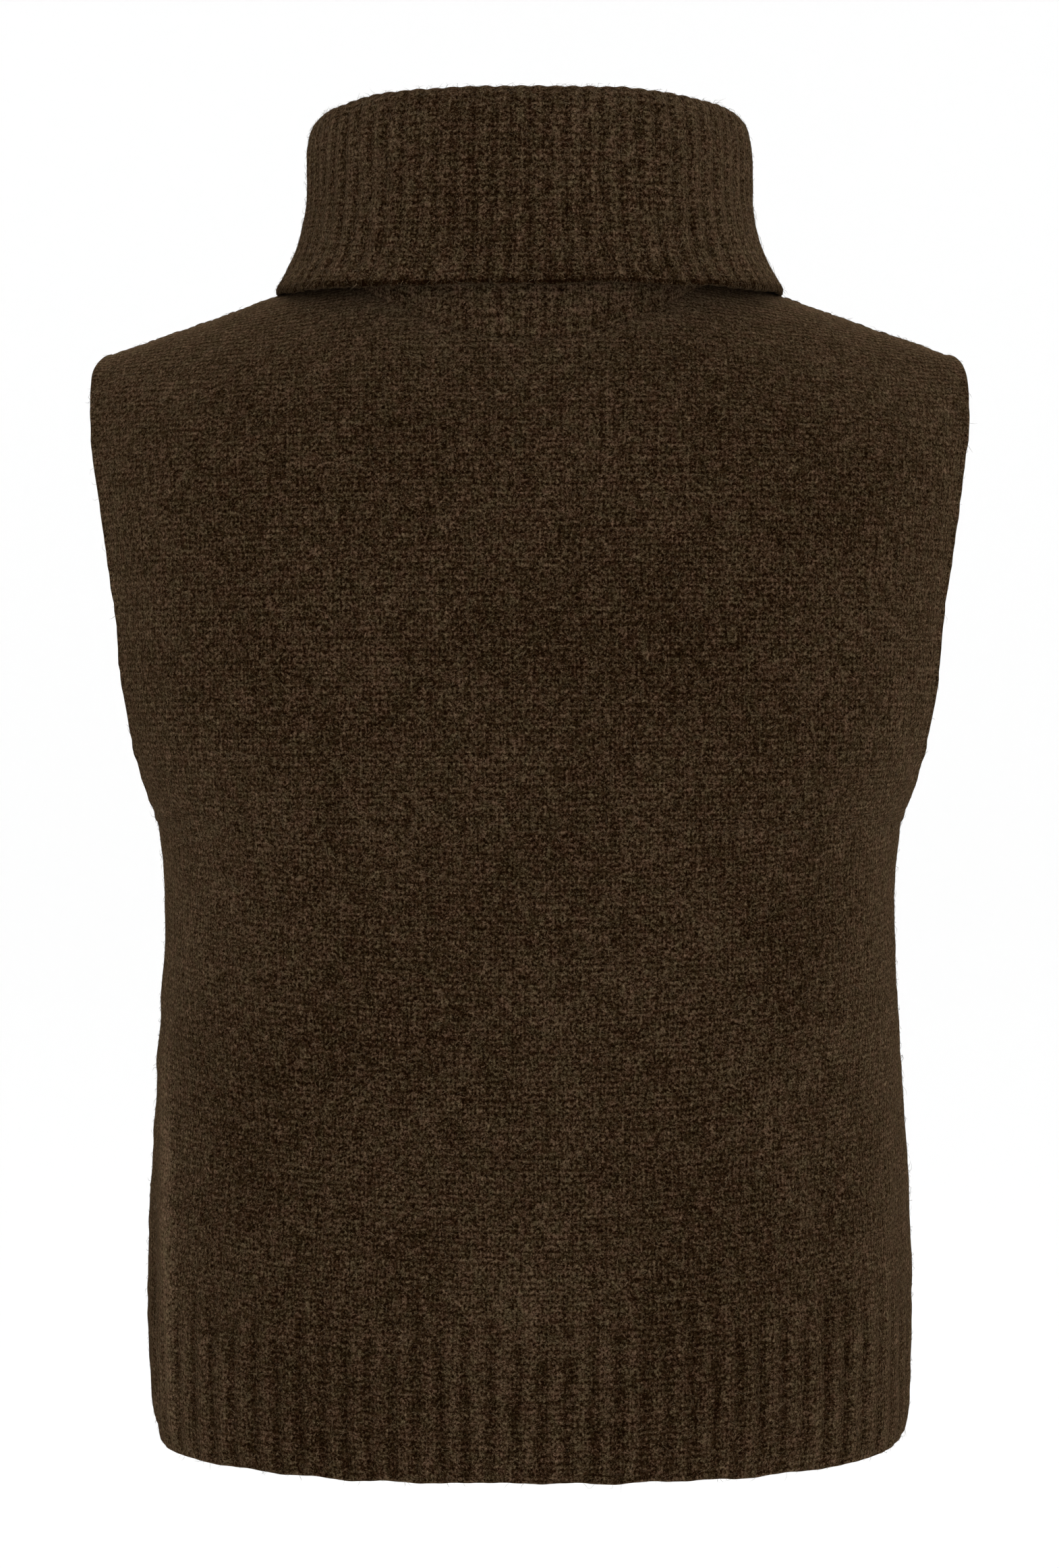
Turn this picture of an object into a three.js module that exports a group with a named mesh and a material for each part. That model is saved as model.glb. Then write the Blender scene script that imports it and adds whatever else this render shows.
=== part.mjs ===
// A knitted roll-neck sweater vest, filled out as it is worn, with nobody in it.
// Three knitted pieces: a back and a front panel of jersey, each with a 2x1 ribbed hem of its own,
// and a 1x1 ribbed collar that stands up from the neck seam and folds over once.
//
// Millimetres. +Z is up, +Y is the wearer's front and +X is the wearer's right.
// The origin lies midway between the two high points of the shoulders, which carry the garment.

import * as THREE from "three";

const BACK = -1;
const FRONT = 1;

// Cloth
const WALL = 3;
const SEAM_GAP = 0.6;
const HEM_RIB_RAISE = 1.3;
const COLLAR_RIB_RAISE = 1.2;

// Neckline, shoulder seam and armhole
const NECK_POINT_X = 86;
const NECK_DEPTH = { [BACK]: 83, [FRONT]: 77 };
const SHOULDER_TIP_X = 195.5;
const SHOULDER_DROP = 39;
const YOKE_Z = -130;
const UNDERARM_Z = -254;

// How the cloth arches from the yoke to the shoulder seam: its slope at the seam, how far it climbs and
// reaches before it bends, and how the outermost columns lean in at the shoulder's tip
const SHOULDER_CROWN = 0.1;
const RISE_REACH = 0.55;
const SHOULDER_REACH = 0.5;
const REACH_FLATNESS = 0.6;
const TIP_LEAN = 0.26;
const TIP_SHARPNESS = 4;

// Hem, which hangs a little lower at the middle of each panel than at the side seams
const HEM_SIDE_Z = -529;
const HEM_MIDDLE_Z = { [BACK]: -539, [FRONT]: -538 };
const HEM_CORNER_SHARPNESS = 4;
const HEM_BAND_HEIGHT = 82;
const RIB_FADE_HEIGHT = 14;

// How square the rings are: 2 is an ellipse, and more is squarer
const BODY_SQUARENESS = 2.5;
const COLLAR_SQUARENESS = 2.3;

// How long the neckline stays high beside the neck before it dips to the middle
const NECKLINE_ROUNDNESS = 1.5;

// Level sections of the whole tube of the body, from the yoke down. Each row holds a height, the half
// width, the depth of the back and of the front at the middle, and how far behind and before y = 0 the
// armhole cuts the tube.
const BODY_SECTIONS = [
  { z: -130, halfWidth: 201.0, back: 110, front: 101, backEdge: 49, frontEdge: 46 },
  { z: -155, halfWidth: 197.3, back: 113, front: 110, backEdge: 51, frontEdge: 48 },
  { z: -186, halfWidth: 193.3, back: 113, front: 119, backEdge: 49, frontEdge: 46 },
  { z: -216, halfWidth: 185.3, back: 111, front: 123, backEdge: 41, frontEdge: 39 },
  { z: -236, halfWidth: 176.4, back: 109, front: 124, backEdge: 29, frontEdge: 28 },
  { z: -248, halfWidth: 171.2, back: 108, front: 124, backEdge: 17, frontEdge: 16 },
  { z: UNDERARM_Z, halfWidth: 169.4, back: 108, front: 124, backEdge: 0, frontEdge: 0 },
  { z: -290, halfWidth: 166.4, back: 106, front: 122, backEdge: 0, frontEdge: 0 },
  { z: -340, halfWidth: 168.6, back: 105, front: 119, backEdge: 0, frontEdge: 0 },
  { z: -403, halfWidth: 172.0, back: 108, front: 117, backEdge: 0, frontEdge: 0 },
  { z: -450, halfWidth: 173.6, back: 112, front: 117, backEdge: 0, frontEdge: 0 },
  { z: -500, halfWidth: 172.8, back: 113, front: 117, backEdge: 0, frontEdge: 0 },
  { z: -545, halfWidth: 171.0, back: 112, front: 116, backEdge: 0, frontEdge: 0 },
];

// The wide soft folds the jersey hangs in. across runs from -1 at the left side seam to 1 at the right,
// and height is how far the fold stands out, or in where it is negative.
const FOLDS = [
  { panel: BACK, across: -0.5, width: 0.24, top: -300, height: -3.0, lean: 0.1 },
  { panel: BACK, across: 0.06, width: 0.22, top: -280, height: 2.5, lean: -0.05 },
  { panel: BACK, across: 0.55, width: 0.2, top: -340, height: -2.4, lean: -0.08 },
  { panel: BACK, across: -0.9, width: 0.05, top: -370, height: -3.4, lean: 0.0 },
  { panel: FRONT, across: -0.58, width: 0.2, top: -250, height: -3.6, lean: 0.12 },
  { panel: FRONT, across: -0.12, width: 0.24, top: -300, height: 2.6, lean: 0.04 },
  { panel: FRONT, across: 0.3, width: 0.18, top: -330, height: -2.6, lean: -0.06 },
  { panel: FRONT, across: 0.64, width: 0.2, top: -250, height: -3.2, lean: -0.14 },
];
const FOLD_FADE_HEIGHT = 110;
const FOLD_SEAM_SHARPNESS = 8;

// Rings of the collar's middle surface above the neck seam: up the stand, over the fold and down the
// turnover. Each row holds the half width, the y of the middle back and front, the height at side, back and
// front, and how much the ring tips forwards where it passes the side.
const COLLAR_RINGS = [
  { halfWidth: 86.5, backY: -81, frontY: 77, sideZ: 15, backZ: -17, frontZ: -38, tip: 2 },
  { halfWidth: 87.5, backY: -79, frontY: 79, sideZ: 33, backZ: 15, frontZ: -4, tip: 5 },
  { halfWidth: 89.5, backY: -78, frontY: 82, sideZ: 53, backZ: 52, frontZ: 34, tip: 9 },
  { halfWidth: 92.0, backY: -80, frontY: 85, sideZ: 63, backZ: 66.5, frontZ: 48, tip: 9 },
  { halfWidth: 95.5, backY: -84, frontY: 88.5, sideZ: 67, backZ: 71.8, frontZ: 53, tip: 9 },
  { halfWidth: 99.0, backY: -88, frontY: 92, sideZ: 62.5, backZ: 66.5, frontZ: 48, tip: 9 },
  { halfWidth: 100.8, backY: -90, frontY: 95, sideZ: 50, backZ: 53, frontZ: 35, tip: 8 },
  { halfWidth: 101.0, backY: -91, frontY: 97.5, sideZ: 31, backZ: 28, frontZ: 10, tip: 6 },
  { halfWidth: 103.8, backY: -93, frontY: 100, sideZ: 15.5, backZ: 5, frontZ: -14, tip: 4 },
  { halfWidth: 109.0, backY: -95, frontY: 102, sideZ: 3, backZ: -6, frontZ: -28, tip: 2 },
  { halfWidth: 116.4, backY: -97, frontY: 103.5, sideZ: -7.5, backZ: -15, frontZ: -38, tip: 0 },
];
const RIBBED_BOTH_SIDES = 2;
const TURNOVER_RING = 7;

// How finely the cloth is divided
const COLUMNS = 36;
const NECK_COLUMNS = 16;
const NECK_SHARE = NECK_COLUMNS / COLUMNS;
const NECK_EDGE_STEPS = 30;
const UPPER_ROWS = 8;
const ARMHOLE_ROWS = 7;
const WAIST_ROWS = 7;
const HEM_ROWS = 4;
const HEM_RIBS = 43;
const HEM_RIB_PROFILE = [0, 1, 1];
const COLLAR_RIBS = 76;
const COLLAR_RIB_PROFILE = [0, 1];
const ARC_SAMPLES = 160;
const TINY = 1e-6;
const NUDGE = 0.01;
const NORMAL_STEP = 0.004;
const RISE_STEP = 8;
const BISECTIONS = 30;
const NECKLINE_SAMPLES = 60;

const smoothStep = (t) => {
  const x = THREE.MathUtils.clamp(t, 0, 1);
  return x * x * (3 - 2 * x);
};

// Reads a column of a table of sections at a height, as a smooth curve through its rows.
function readTable(table, column, z) {
  let i = 0;
  while (i < table.length - 2 && z < table[i + 1].z) i++;
  const slope = (k) => {
    const low = table[Math.max(k - 1, 0)];
    const high = table[Math.min(k + 1, table.length - 1)];
    return (high[column] - low[column]) / (high.z - low.z);
  };
  const [a, b] = [table[i], table[i + 1]];
  const span = b.z - a.z;
  const t = THREE.MathUtils.clamp((z - a.z) / span, 0, 1);
  const [t2, t3] = [t * t, t * t * t];
  return (
    a[column] * (2 * t3 - 3 * t2 + 1) +
    b[column] * (3 * t2 - 2 * t3) +
    slope(i) * span * (t3 - 2 * t2 + t) +
    slope(i + 1) * span * (t3 - t2)
  );
}

// A quarter of a squared ring, from its side at turn 0 to its middle at turn 1.
function quarterRing(turn, squareness) {
  const angle = (turn * Math.PI) / 2;
  const power = 2 / squareness;
  return { side: Math.cos(angle) ** power, middle: Math.sin(angle) ** power };
}

// The turn of a quarter ring at a share of its length, counted from its middle to its side, or to the place
// where an armhole at a depth of edge cuts it.
function turnAtShare(share, halfWidth, depth, squareness, edge = 0) {
  const lengths = [0];
  let last = quarterRing(1, squareness);
  for (let i = 1; i <= ARC_SAMPLES; i++) {
    const next = quarterRing(1 - i / ARC_SAMPLES, squareness);
    const step = Math.hypot((next.side - last.side) * halfWidth, (next.middle - last.middle) * depth);
    lengths.push(lengths[i - 1] + step * uncutShare(i, depth, squareness, edge));
    last = next;
  }
  const target = share * lengths[ARC_SAMPLES];
  let i = 1;
  while (i < ARC_SAMPLES && lengths[i] < target) i++;
  const cutEnd = lengths[i] >= lengths[ARC_SAMPLES] - TINY;
  const uncut = cutEnd ? uncutShare(i, depth, squareness, edge) : 1;
  const within = (uncut * (target - lengths[i - 1])) / (lengths[i] - lengths[i - 1]);
  return 1 - (i - 1 + within) / ARC_SAMPLES;
}

// The share of a step of a quarter ring that lies on the near side of the armhole's edge.
function uncutShare(i, depth, squareness, edge) {
  const from = quarterRing(1 - (i - 1) / ARC_SAMPLES, squareness).middle * depth;
  const to = quarterRing(1 - i / ARC_SAMPLES, squareness).middle * depth;
  return THREE.MathUtils.clamp((from - edge) / (from - to), 0, 1);
}

// How far the folds move the cloth out at a place on a panel.
function foldHeight(panel, across, z) {
  let height = 0;
  for (const fold of FOLDS) {
    if (fold.panel !== panel) continue;
    const down = (fold.top - z) / FOLD_FADE_HEIGHT;
    const offset = (across - fold.across - fold.lean * Math.min(down / 2, 1)) / fold.width;
    height += fold.height * smoothStep(down) * Math.exp(-offset * offset);
  }
  return height;
}

// A point of a panel's middle surface below the yoke.
function levelPoint(panel, across, z) {
  const halfWidth = readTable(BODY_SECTIONS, "halfWidth", z);
  const depth = readTable(BODY_SECTIONS, panel === BACK ? "back" : "front", z);
  const cut = readTable(BODY_SECTIONS, panel === BACK ? "backEdge" : "frontEdge", z);
  const edge = Math.max(cut, SEAM_GAP / 2);
  const turn = turnAtShare(Math.abs(across), halfWidth, depth, BODY_SQUARENESS, edge);
  const ring = quarterRing(turn, BODY_SQUARENESS);
  const out = 1 + (foldHeight(panel, across, z) * (1 - across ** FOLD_SEAM_SHARPNESS)) / depth;
  const x = Math.sign(across) * halfWidth * ring.side * out;
  return new THREE.Vector3(x, panel * depth * ring.middle * out, z);
}

// A point on the ring of the collar, at a turn that runs from 0 at the side to 1 at the middle of a panel.
function collarPoint(ring, panel, hand, turn) {
  const share = quarterRing(turn, COLLAR_SQUARENESS);
  const [middleY, middleZ] = panel === BACK ? [ring.backY, ring.backZ] : [ring.frontY, ring.frontZ];
  const m = share.middle;
  const tipping = -panel * ring.tip * m * (1 - m) ** 2;
  return new THREE.Vector3(
    hand * ring.halfWidth * share.side,
    middleY * m,
    ring.sideZ + tipping + (middleZ - ring.sideZ) * smoothStep(m ** NECKLINE_ROUNDNESS),
  );
}

// The height of the line over the shoulders, which levels out inside the neck.
function shoulderLine(x) {
  const slope = SHOULDER_DROP / (SHOULDER_TIP_X - NECK_POINT_X);
  if (x > NECK_POINT_X) return -slope * (x - NECK_POINT_X);
  return (slope * NECK_POINT_X * (1 - (x / NECK_POINT_X) ** 2)) / 2;
}

// One column of a panel above the yoke, as a curve that arches to the shoulder line. The columns at the
// middle would meet over the neck, and the neckline cuts them short.
function archCurve(panel, across) {
  const hand = Math.sign(across) || 1;
  const share = Math.abs(across);
  const q = Math.max((share - NECK_SHARE) / (1 - NECK_SHARE), 0);
  const x = Math.min(share / NECK_SHARE, 1) * NECK_POINT_X + q * (SHOULDER_TIP_X - NECK_POINT_X);
  const start = levelPoint(panel, across, YOKE_Z);
  const rise = start.clone().sub(levelPoint(panel, across, YOKE_Z - RISE_STEP)).divideScalar(RISE_STEP);
  const end = new THREE.Vector3(hand * x, panel * (SEAM_GAP / 2), shoulderLine(x));
  const lean = -hand * TIP_LEAN * q ** TIP_SHARPNESS;
  const arriving = new THREE.Vector3(lean, -panel, SHOULDER_CROWN).normalize();
  const up = RISE_REACH * (end.z - start.z);
  const over = SHOULDER_REACH * Math.hypot(end.y - start.y, REACH_FLATNESS * (end.z - start.z));
  const climbing = start.clone().addScaledVector(rise, up);
  return new THREE.CubicBezierCurve3(start, climbing, end.clone().addScaledVector(arriving, -over), end);
}

// How far along its arch a column is cut by the neckline, or 1 where it reaches the shoulder seam.
function neckCut(panel, across, curve) {
  if (Math.abs(across) > NECK_SHARE - TINY) return 1;
  let [outside, inside] = [0, 1];
  for (let i = 0; i < BISECTIONS; i++) {
    const middle = (outside + inside) / 2;
    const { x, y } = curve.getPoint(middle);
    const sideways = Math.abs(x / NECK_POINT_X) ** COLLAR_SQUARENESS;
    const lengthways = Math.abs(y / NECK_DEPTH[panel]) ** COLLAR_SQUARENESS;
    if (sideways + lengthways > 1) outside = middle;
    else inside = middle;
  }
  return inside;
}

// A point of a panel's middle surface. down runs from -1 at the top edge, through 0 at the yoke, to 1 at
// the hem.
function panelPoint(panel, across, down) {
  if (down >= 0) {
    const hem = THREE.MathUtils.lerp(HEM_MIDDLE_Z[panel], HEM_SIDE_Z, across ** HEM_CORNER_SHARPNESS);
    return levelPoint(panel, across, THREE.MathUtils.lerp(YOKE_Z, hem, down));
  }
  const curve = archCurve(panel, across);
  return curve.getPoint(-down * neckCut(panel, across, curve));
}

// The outward normal of a panel, from the cloth's own directions across and down.
function panelNormal(panel, across, down) {
  const clampAcross = (a) => THREE.MathUtils.clamp(a, -1, 1);
  const right = panelPoint(panel, clampAcross(across + NORMAL_STEP), down);
  const left = panelPoint(panel, clampAcross(across - NORMAL_STEP), down);
  const above = panelPoint(panel, across, Math.max(down - NORMAL_STEP, -1));
  const below = panelPoint(panel, across, Math.min(down + NORMAL_STEP, 1));
  const normal = new THREE.Vector3().crossVectors(right.sub(left), above.sub(below));
  return normal.multiplyScalar(-panel).normalize();
}

// The neckline of a panel's right half, from the middle to the shoulder, as turns with heights and normals.
function traceNeckline(panel) {
  const places = [];
  for (let i = 0; i <= NECKLINE_SAMPLES; i++) {
    const across = NECK_SHARE * Math.sin(((i / NECKLINE_SAMPLES) * Math.PI) / 2);
    const point = panelPoint(panel, across, -1);
    const side = Math.min(point.x / NECK_POINT_X, 1) ** (COLLAR_SQUARENESS / 2);
    const turn = Math.acos(side) / (Math.PI / 2);
    places.push({ turn, z: point.z, normal: panelNormal(panel, across, -1) });
  }
  return places;
}

const NECKLINES = { [BACK]: traceNeckline(BACK), [FRONT]: traceNeckline(FRONT) };

// A point of the neck seam and the panel's normal there.
function necklinePlace(panel, hand, turn) {
  const places = NECKLINES[panel];
  let i = 1;
  while (i < places.length - 1 && places[i].turn > turn) i++;
  const [from, to] = [places[i - 1], places[i]];
  const t = THREE.MathUtils.clamp((from.turn - turn) / (from.turn - to.turn), 0, 1);
  const ring = quarterRing(turn, COLLAR_SQUARENESS);
  const x = hand * NECK_POINT_X * ring.side;
  const y = panel * NECK_DEPTH[panel] * ring.middle;
  const point = new THREE.Vector3(x, y, THREE.MathUtils.lerp(from.z, to.z, t));
  const normal = from.normal.clone().lerp(to.normal, t).normalize();
  normal.x *= hand;
  return { point, normal };
}

// The neck seam at a turn: its point, the ways that lead from it down the panel and up the collar, and the
// mitre that both pieces end on.
function neckSeam(panel, hand, turn) {
  const { point, normal } = necklinePlace(panel, hand, turn);
  const ahead = necklinePlace(panel, hand, Math.min(turn + NUDGE, 1)).point;
  const behind = necklinePlace(panel, hand, Math.max(turn - NUDGE, 0)).point;
  const along = ahead.sub(behind).normalize().multiplyScalar(hand * panel);
  normal.addScaledVector(along, -normal.dot(along)).normalize();
  const away = new THREE.Vector3().crossVectors(along, normal);
  const leaving = collarPoint(COLLAR_RINGS[0], panel, hand, turn).sub(point).normalize();
  const collarNormal = new THREE.Vector3().crossVectors(along, leaving).normalize();
  const mitre = normal.clone().add(collarNormal).divideScalar(1 + normal.dot(collarNormal));
  if (turn < TINY) mitre.y = 0;
  return { point, away, leaving, mitre };
}

// A point of a panel's top edge and the mitre that it ends on, at the neck seam or at the shoulder seam.
function topEdge(panel, across) {
  const point = panelPoint(panel, across, -1);
  const hand = Math.sign(across) || 1;
  if (Math.abs(across) > NECK_SHARE + TINY) {
    const run = SHOULDER_TIP_X - NECK_POINT_X;
    return { point, mitre: new THREE.Vector3(hand * SHOULDER_DROP, 0, run).normalize() };
  }
  const side = Math.min(Math.abs(point.x) / NECK_POINT_X, 1) ** (COLLAR_SQUARENESS / 2);
  const { away, mitre } = neckSeam(panel, hand, Math.acos(side) / (Math.PI / 2));
  point.addScaledVector(away, SEAM_GAP / 2);
  point.y = panel * Math.max(panel * point.y, SEAM_GAP / 2);
  return { point, mitre };
}

// Divides the strip between two lines of points into triangles, by how far along its line each point lies.
// Where two points lie level the shorter diagonal is taken.
function zip(triangles, first, second, turned) {
  let [i, j] = [0, 0];
  while (i < first.length - 1 || j < second.length - 1) {
    const nextFirst = i < first.length - 1 ? first[i + 1].along : Infinity;
    const nextSecond = j < second.length - 1 ? second[j + 1].along : Infinity;
    let takeFirst = nextFirst < nextSecond;
    if (Math.abs(nextFirst - nextSecond) < TINY) {
      const diagonal = first[i + 1].point.distanceTo(second[j].point);
      takeFirst = diagonal < first[i].point.distanceTo(second[j + 1].point) - TINY;
    }
    const corner = takeFirst ? first[i + 1] : second[j + 1];
    const triangle = turned ? [first[i], corner, second[j]] : [first[i], second[j], corner];
    triangles.push(...triangle.map((place) => place.point));
    if (takeFirst) i++;
    else j++;
  }
}

// A closed wall of cloth between an outer and an inner set of rows. A ring's rows close on themselves.
function clothWall(outer, inner, isRing) {
  const triangles = [];
  const last = outer.length - 1;
  const closed = (row) => [...row, { along: 1, point: row[0].point }];
  const [out, into] = isRing ? [outer.map(closed), inner.map(closed)] : [outer, inner];
  for (let i = 0; i < last; i++) {
    zip(triangles, out[i], out[i + 1], false);
    zip(triangles, into[i], into[i + 1], true);
  }
  zip(triangles, out[0], into[0], true);
  zip(triangles, out[last], into[last], false);
  if (!isRing) {
    const edge = (rows, end) => rows.map((row, i) => ({ along: i / last, point: row.at(end).point }));
    zip(triangles, edge(out, 0), edge(into, 0), false);
    zip(triangles, edge(out, -1), edge(into, -1), true);
  }
  return new THREE.BufferGeometry().setFromPoints(triangles);
}

// Places across a panel, from one side edge to the other, evenly.
function evenly(count) {
  return Array.from({ length: count + 1 }, (_, i) => (2 * i) / count - 1);
}

// Places across a panel's top edge, which is divided finely enough to follow the neckline.
function topEdgePlaces() {
  const half = [];
  for (let i = 0; i < NECK_EDGE_STEPS; i++) {
    const turn = turnAtShare(i / NECK_EDGE_STEPS, 1, 1, COLLAR_SQUARENESS);
    half.push(NECK_SHARE * quarterRing(turn, COLLAR_SQUARENESS).side);
  }
  const shoulderColumns = (COLUMNS - NECK_COLUMNS) / 2;
  for (let i = 0; i <= shoulderColumns; i++) {
    half.push(THREE.MathUtils.lerp(NECK_SHARE, 1, i / shoulderColumns));
  }
  return [...half.slice(1).reverse().map((across) => -across), ...half];
}

// One jersey panel with its ribbed hem. The ribs stand on the outer face, and the inner face is plain.
function panelGeometry(panel) {
  const downs = [];
  const height = YOKE_Z - HEM_SIDE_Z;
  const underarm = (YOKE_Z - UNDERARM_Z) / height;
  const bandTop = 1 - HEM_BAND_HEIGHT / height;
  const fade = RIB_FADE_HEIGHT / height;
  for (let i = 0; i < UPPER_ROWS; i++) downs.push(-1 + i / UPPER_ROWS);
  for (let i = 0; i < ARMHOLE_ROWS; i++) {
    downs.push(underarm * Math.sin((i / ARMHOLE_ROWS) * (Math.PI / 2)));
  }
  for (let i = 0; i < WAIST_ROWS; i++) downs.push(THREE.MathUtils.lerp(underarm, bandTop, i / WAIST_ROWS));
  downs.push(bandTop);
  for (let i = 0; i < HEM_ROWS; i++) {
    downs.push(THREE.MathUtils.lerp(bandTop + fade, 1, i / (HEM_ROWS - 1)));
  }
  const plainPlaces = (down) => (down === -1 ? topEdgePlaces() : evenly(COLUMNS));
  const ribPlaces = evenly(HEM_RIBS * HEM_RIB_PROFILE.length);
  // A panel is worked from left to right as it is seen from outside, so that its faces point out.
  const row = (down, places, offset) =>
    places.map((place, i) => {
      const across = -panel * place;
      const along = (place + 1) / 2;
      if (down === -1) {
        const { point, mitre } = topEdge(panel, across);
        return { along, point: point.addScaledVector(mitre, offset(i)) };
      }
      const point = panelPoint(panel, across, down);
      return { along, point: point.addScaledVector(panelNormal(panel, across, down), offset(i)) };
    });
  const plain = () => WALL / 2;
  const ribbed = (i) => WALL / 2 + HEM_RIB_RAISE * HEM_RIB_PROFILE[i % HEM_RIB_PROFILE.length];
  const outer = downs.map((down) => {
    if (down < bandTop) return row(down, plainPlaces(down), plain);
    return row(down, ribPlaces, down === bandTop ? plain : ribbed);
  });
  const inner = downs.map((down) => row(down, plainPlaces(down), () => -WALL / 2));
  return clothWall(outer, inner, false);
}

// The places round the collar, evenly along its turnover, as a panel, a hand and a turn.
function collarPlaces(count) {
  const ring = COLLAR_RINGS[TURNOVER_RING];
  const places = [];
  for (let i = 0; i < count; i++) {
    const quarter = Math.floor((4 * i) / count);
    const within = (4 * i) / count - quarter;
    const panel = quarter < 2 ? FRONT : BACK;
    const hand = quarter === 0 || quarter === 3 ? 1 : -1;
    const depth = Math.abs(panel === BACK ? ring.backY : ring.frontY);
    const fromMiddle = quarter % 2 === 0 ? 1 - within : within;
    const turn = turnAtShare(fromMiddle, ring.halfWidth, depth, COLLAR_SQUARENESS);
    places.push({ panel, hand, turn, along: i / count });
  }
  return places;
}

// The collar, whose visible face is the inside of the stand and the outside of the turnover.
function collarGeometry() {
  const lastRing = COLLAR_RINGS.length - 1;
  const middlePoint = ({ panel, hand, turn }, k) =>
    k < 0 ? necklinePlace(panel, hand, turn).point : collarPoint(COLLAR_RINGS[k], panel, hand, turn);
  const ringNormal = (place, k) => {
    const rising = middlePoint(place, Math.min(k + 1, lastRing)).sub(middlePoint(place, k - 1));
    const ahead = middlePoint({ ...place, turn: Math.min(place.turn + NUDGE, 1) }, k);
    const behind = middlePoint({ ...place, turn: Math.max(place.turn - NUDGE, 0) }, k);
    const along = ahead.sub(behind).multiplyScalar(place.hand * place.panel);
    return new THREE.Vector3().crossVectors(rising, along).normalize();
  };
  const seamPoint = (place, height) => {
    const { point, leaving, mitre } = neckSeam(place.panel, place.hand, place.turn);
    return point.addScaledVector(leaving, SEAM_GAP / 2).addScaledVector(mitre, -height);
  };
  const ringPoints = (places, k, height) =>
    places.map((place, i) => {
      const { along } = place;
      if (k < 0) return { along, point: seamPoint(place, height(i)) };
      return { along, point: middlePoint(place, k).addScaledVector(ringNormal(place, k), height(i)) };
    });
  const ribbedPlaces = collarPlaces(COLLAR_RIBS * COLLAR_RIB_PROFILE.length);
  const plainPlaces = collarPlaces(COLLAR_RIBS);
  const plain = WALL / 2;
  const ribbed = (i) => plain + COLLAR_RIB_RAISE * COLLAR_RIB_PROFILE[i % COLLAR_RIB_PROFILE.length];
  const shown = [ringPoints(ribbedPlaces, -1, () => plain)];
  const hidden = [ringPoints(ribbedPlaces, -1, () => -plain)];
  for (let k = 0; k <= lastRing; k++) {
    shown.push(ringPoints(ribbedPlaces, k, ribbed));
    if (k < RIBBED_BOTH_SIDES) hidden.push(ringPoints(ribbedPlaces, k, (i) => -ribbed(i)));
    else hidden.push(ringPoints(plainPlaces, k, () => -plain));
  }
  return clothWall(shown, hidden, true);
}

const wool = (colour) => new THREE.MeshStandardMaterial({ color: colour, roughness: 0.95, metalness: 0 });
const backPanel = new THREE.Mesh(panelGeometry(BACK), wool("#3a2b1d"));
backPanel.name = "back";
const frontPanel = new THREE.Mesh(panelGeometry(FRONT), wool("#3a2b1d"));
frontPanel.name = "front";
const collar = new THREE.Mesh(collarGeometry(), wool("#3d2e20"));
collar.name = "collar";

const vest = new THREE.Group();
vest.add(backPanel, frontPanel, collar);

export default vest;
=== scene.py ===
# A knitted roll-neck sweater vest, filled out as it is worn, with nobody in it.
# Sizes are in millimetres, and points are put in metres when a mesh is made.
import math

import bpy
import numpy as np
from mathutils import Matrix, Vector


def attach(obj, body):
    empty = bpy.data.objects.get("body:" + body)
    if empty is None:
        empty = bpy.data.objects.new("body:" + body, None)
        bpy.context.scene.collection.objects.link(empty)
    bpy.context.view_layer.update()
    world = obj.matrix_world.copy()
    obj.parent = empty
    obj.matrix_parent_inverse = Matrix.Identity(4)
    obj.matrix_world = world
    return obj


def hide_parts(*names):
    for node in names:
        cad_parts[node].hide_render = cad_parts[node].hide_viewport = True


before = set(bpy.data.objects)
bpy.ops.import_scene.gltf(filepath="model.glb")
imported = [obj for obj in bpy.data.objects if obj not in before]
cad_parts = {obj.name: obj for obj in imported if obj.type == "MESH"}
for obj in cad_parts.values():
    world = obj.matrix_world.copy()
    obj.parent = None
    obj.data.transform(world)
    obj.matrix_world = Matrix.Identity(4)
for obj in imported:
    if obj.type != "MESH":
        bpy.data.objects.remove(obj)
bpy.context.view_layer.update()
bpy.ops.object.select_all(action="DESELECT")
scene = bpy.context.scene

# The studio: a camera level with the middle of the back, a pale sweep that is the floor and the wall, a large
# soft light in front, two at the sides that light the nap along the edges, and one above, beyond the vest,
# for the shoulders and the fold of the collar.
CAMERA_PLACE = (0.0, -1.8, -0.235)
LENS = 89.2
SENSOR = 36.0
FLOOR_Z = -1.4
SWEEP_SIZE = 16.0
SWEEP_WALL_Y = 4.5
SWEEP_HEIGHT = 7.0
SWEEP_BEND = 2.2
SWEEP_BEND_STEPS = 24
PAPER_TONES = ((0.93, 0.93, 0.93), (0.95, 0.95, 0.95))
WORLD_LIGHT = 1.0


def two_tones(tree, value, tones, span=(0.0, 1.0)):
    """A ramp's colour, from the first tone to the second over a span of its input."""
    ramp = tree.nodes.new("ShaderNodeValToRGB")
    for element, position, tone in zip(ramp.color_ramp.elements, span, tones):
        element.position = position
        element.color = (*tone, 1)
    tree.links.new(value, ramp.inputs["Fac"])
    return ramp.outputs["Color"]


camera_data = bpy.data.cameras.new("camera")
camera_data.lens = LENS
camera_data.sensor_width = SENSOR
camera = bpy.data.objects.new("camera", camera_data)
camera.location = CAMERA_PLACE
camera.rotation_euler = (math.pi / 2, 0, 0)
scene.collection.objects.link(camera)
scene.camera = camera
scene.view_settings.view_transform = "Standard"

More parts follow.
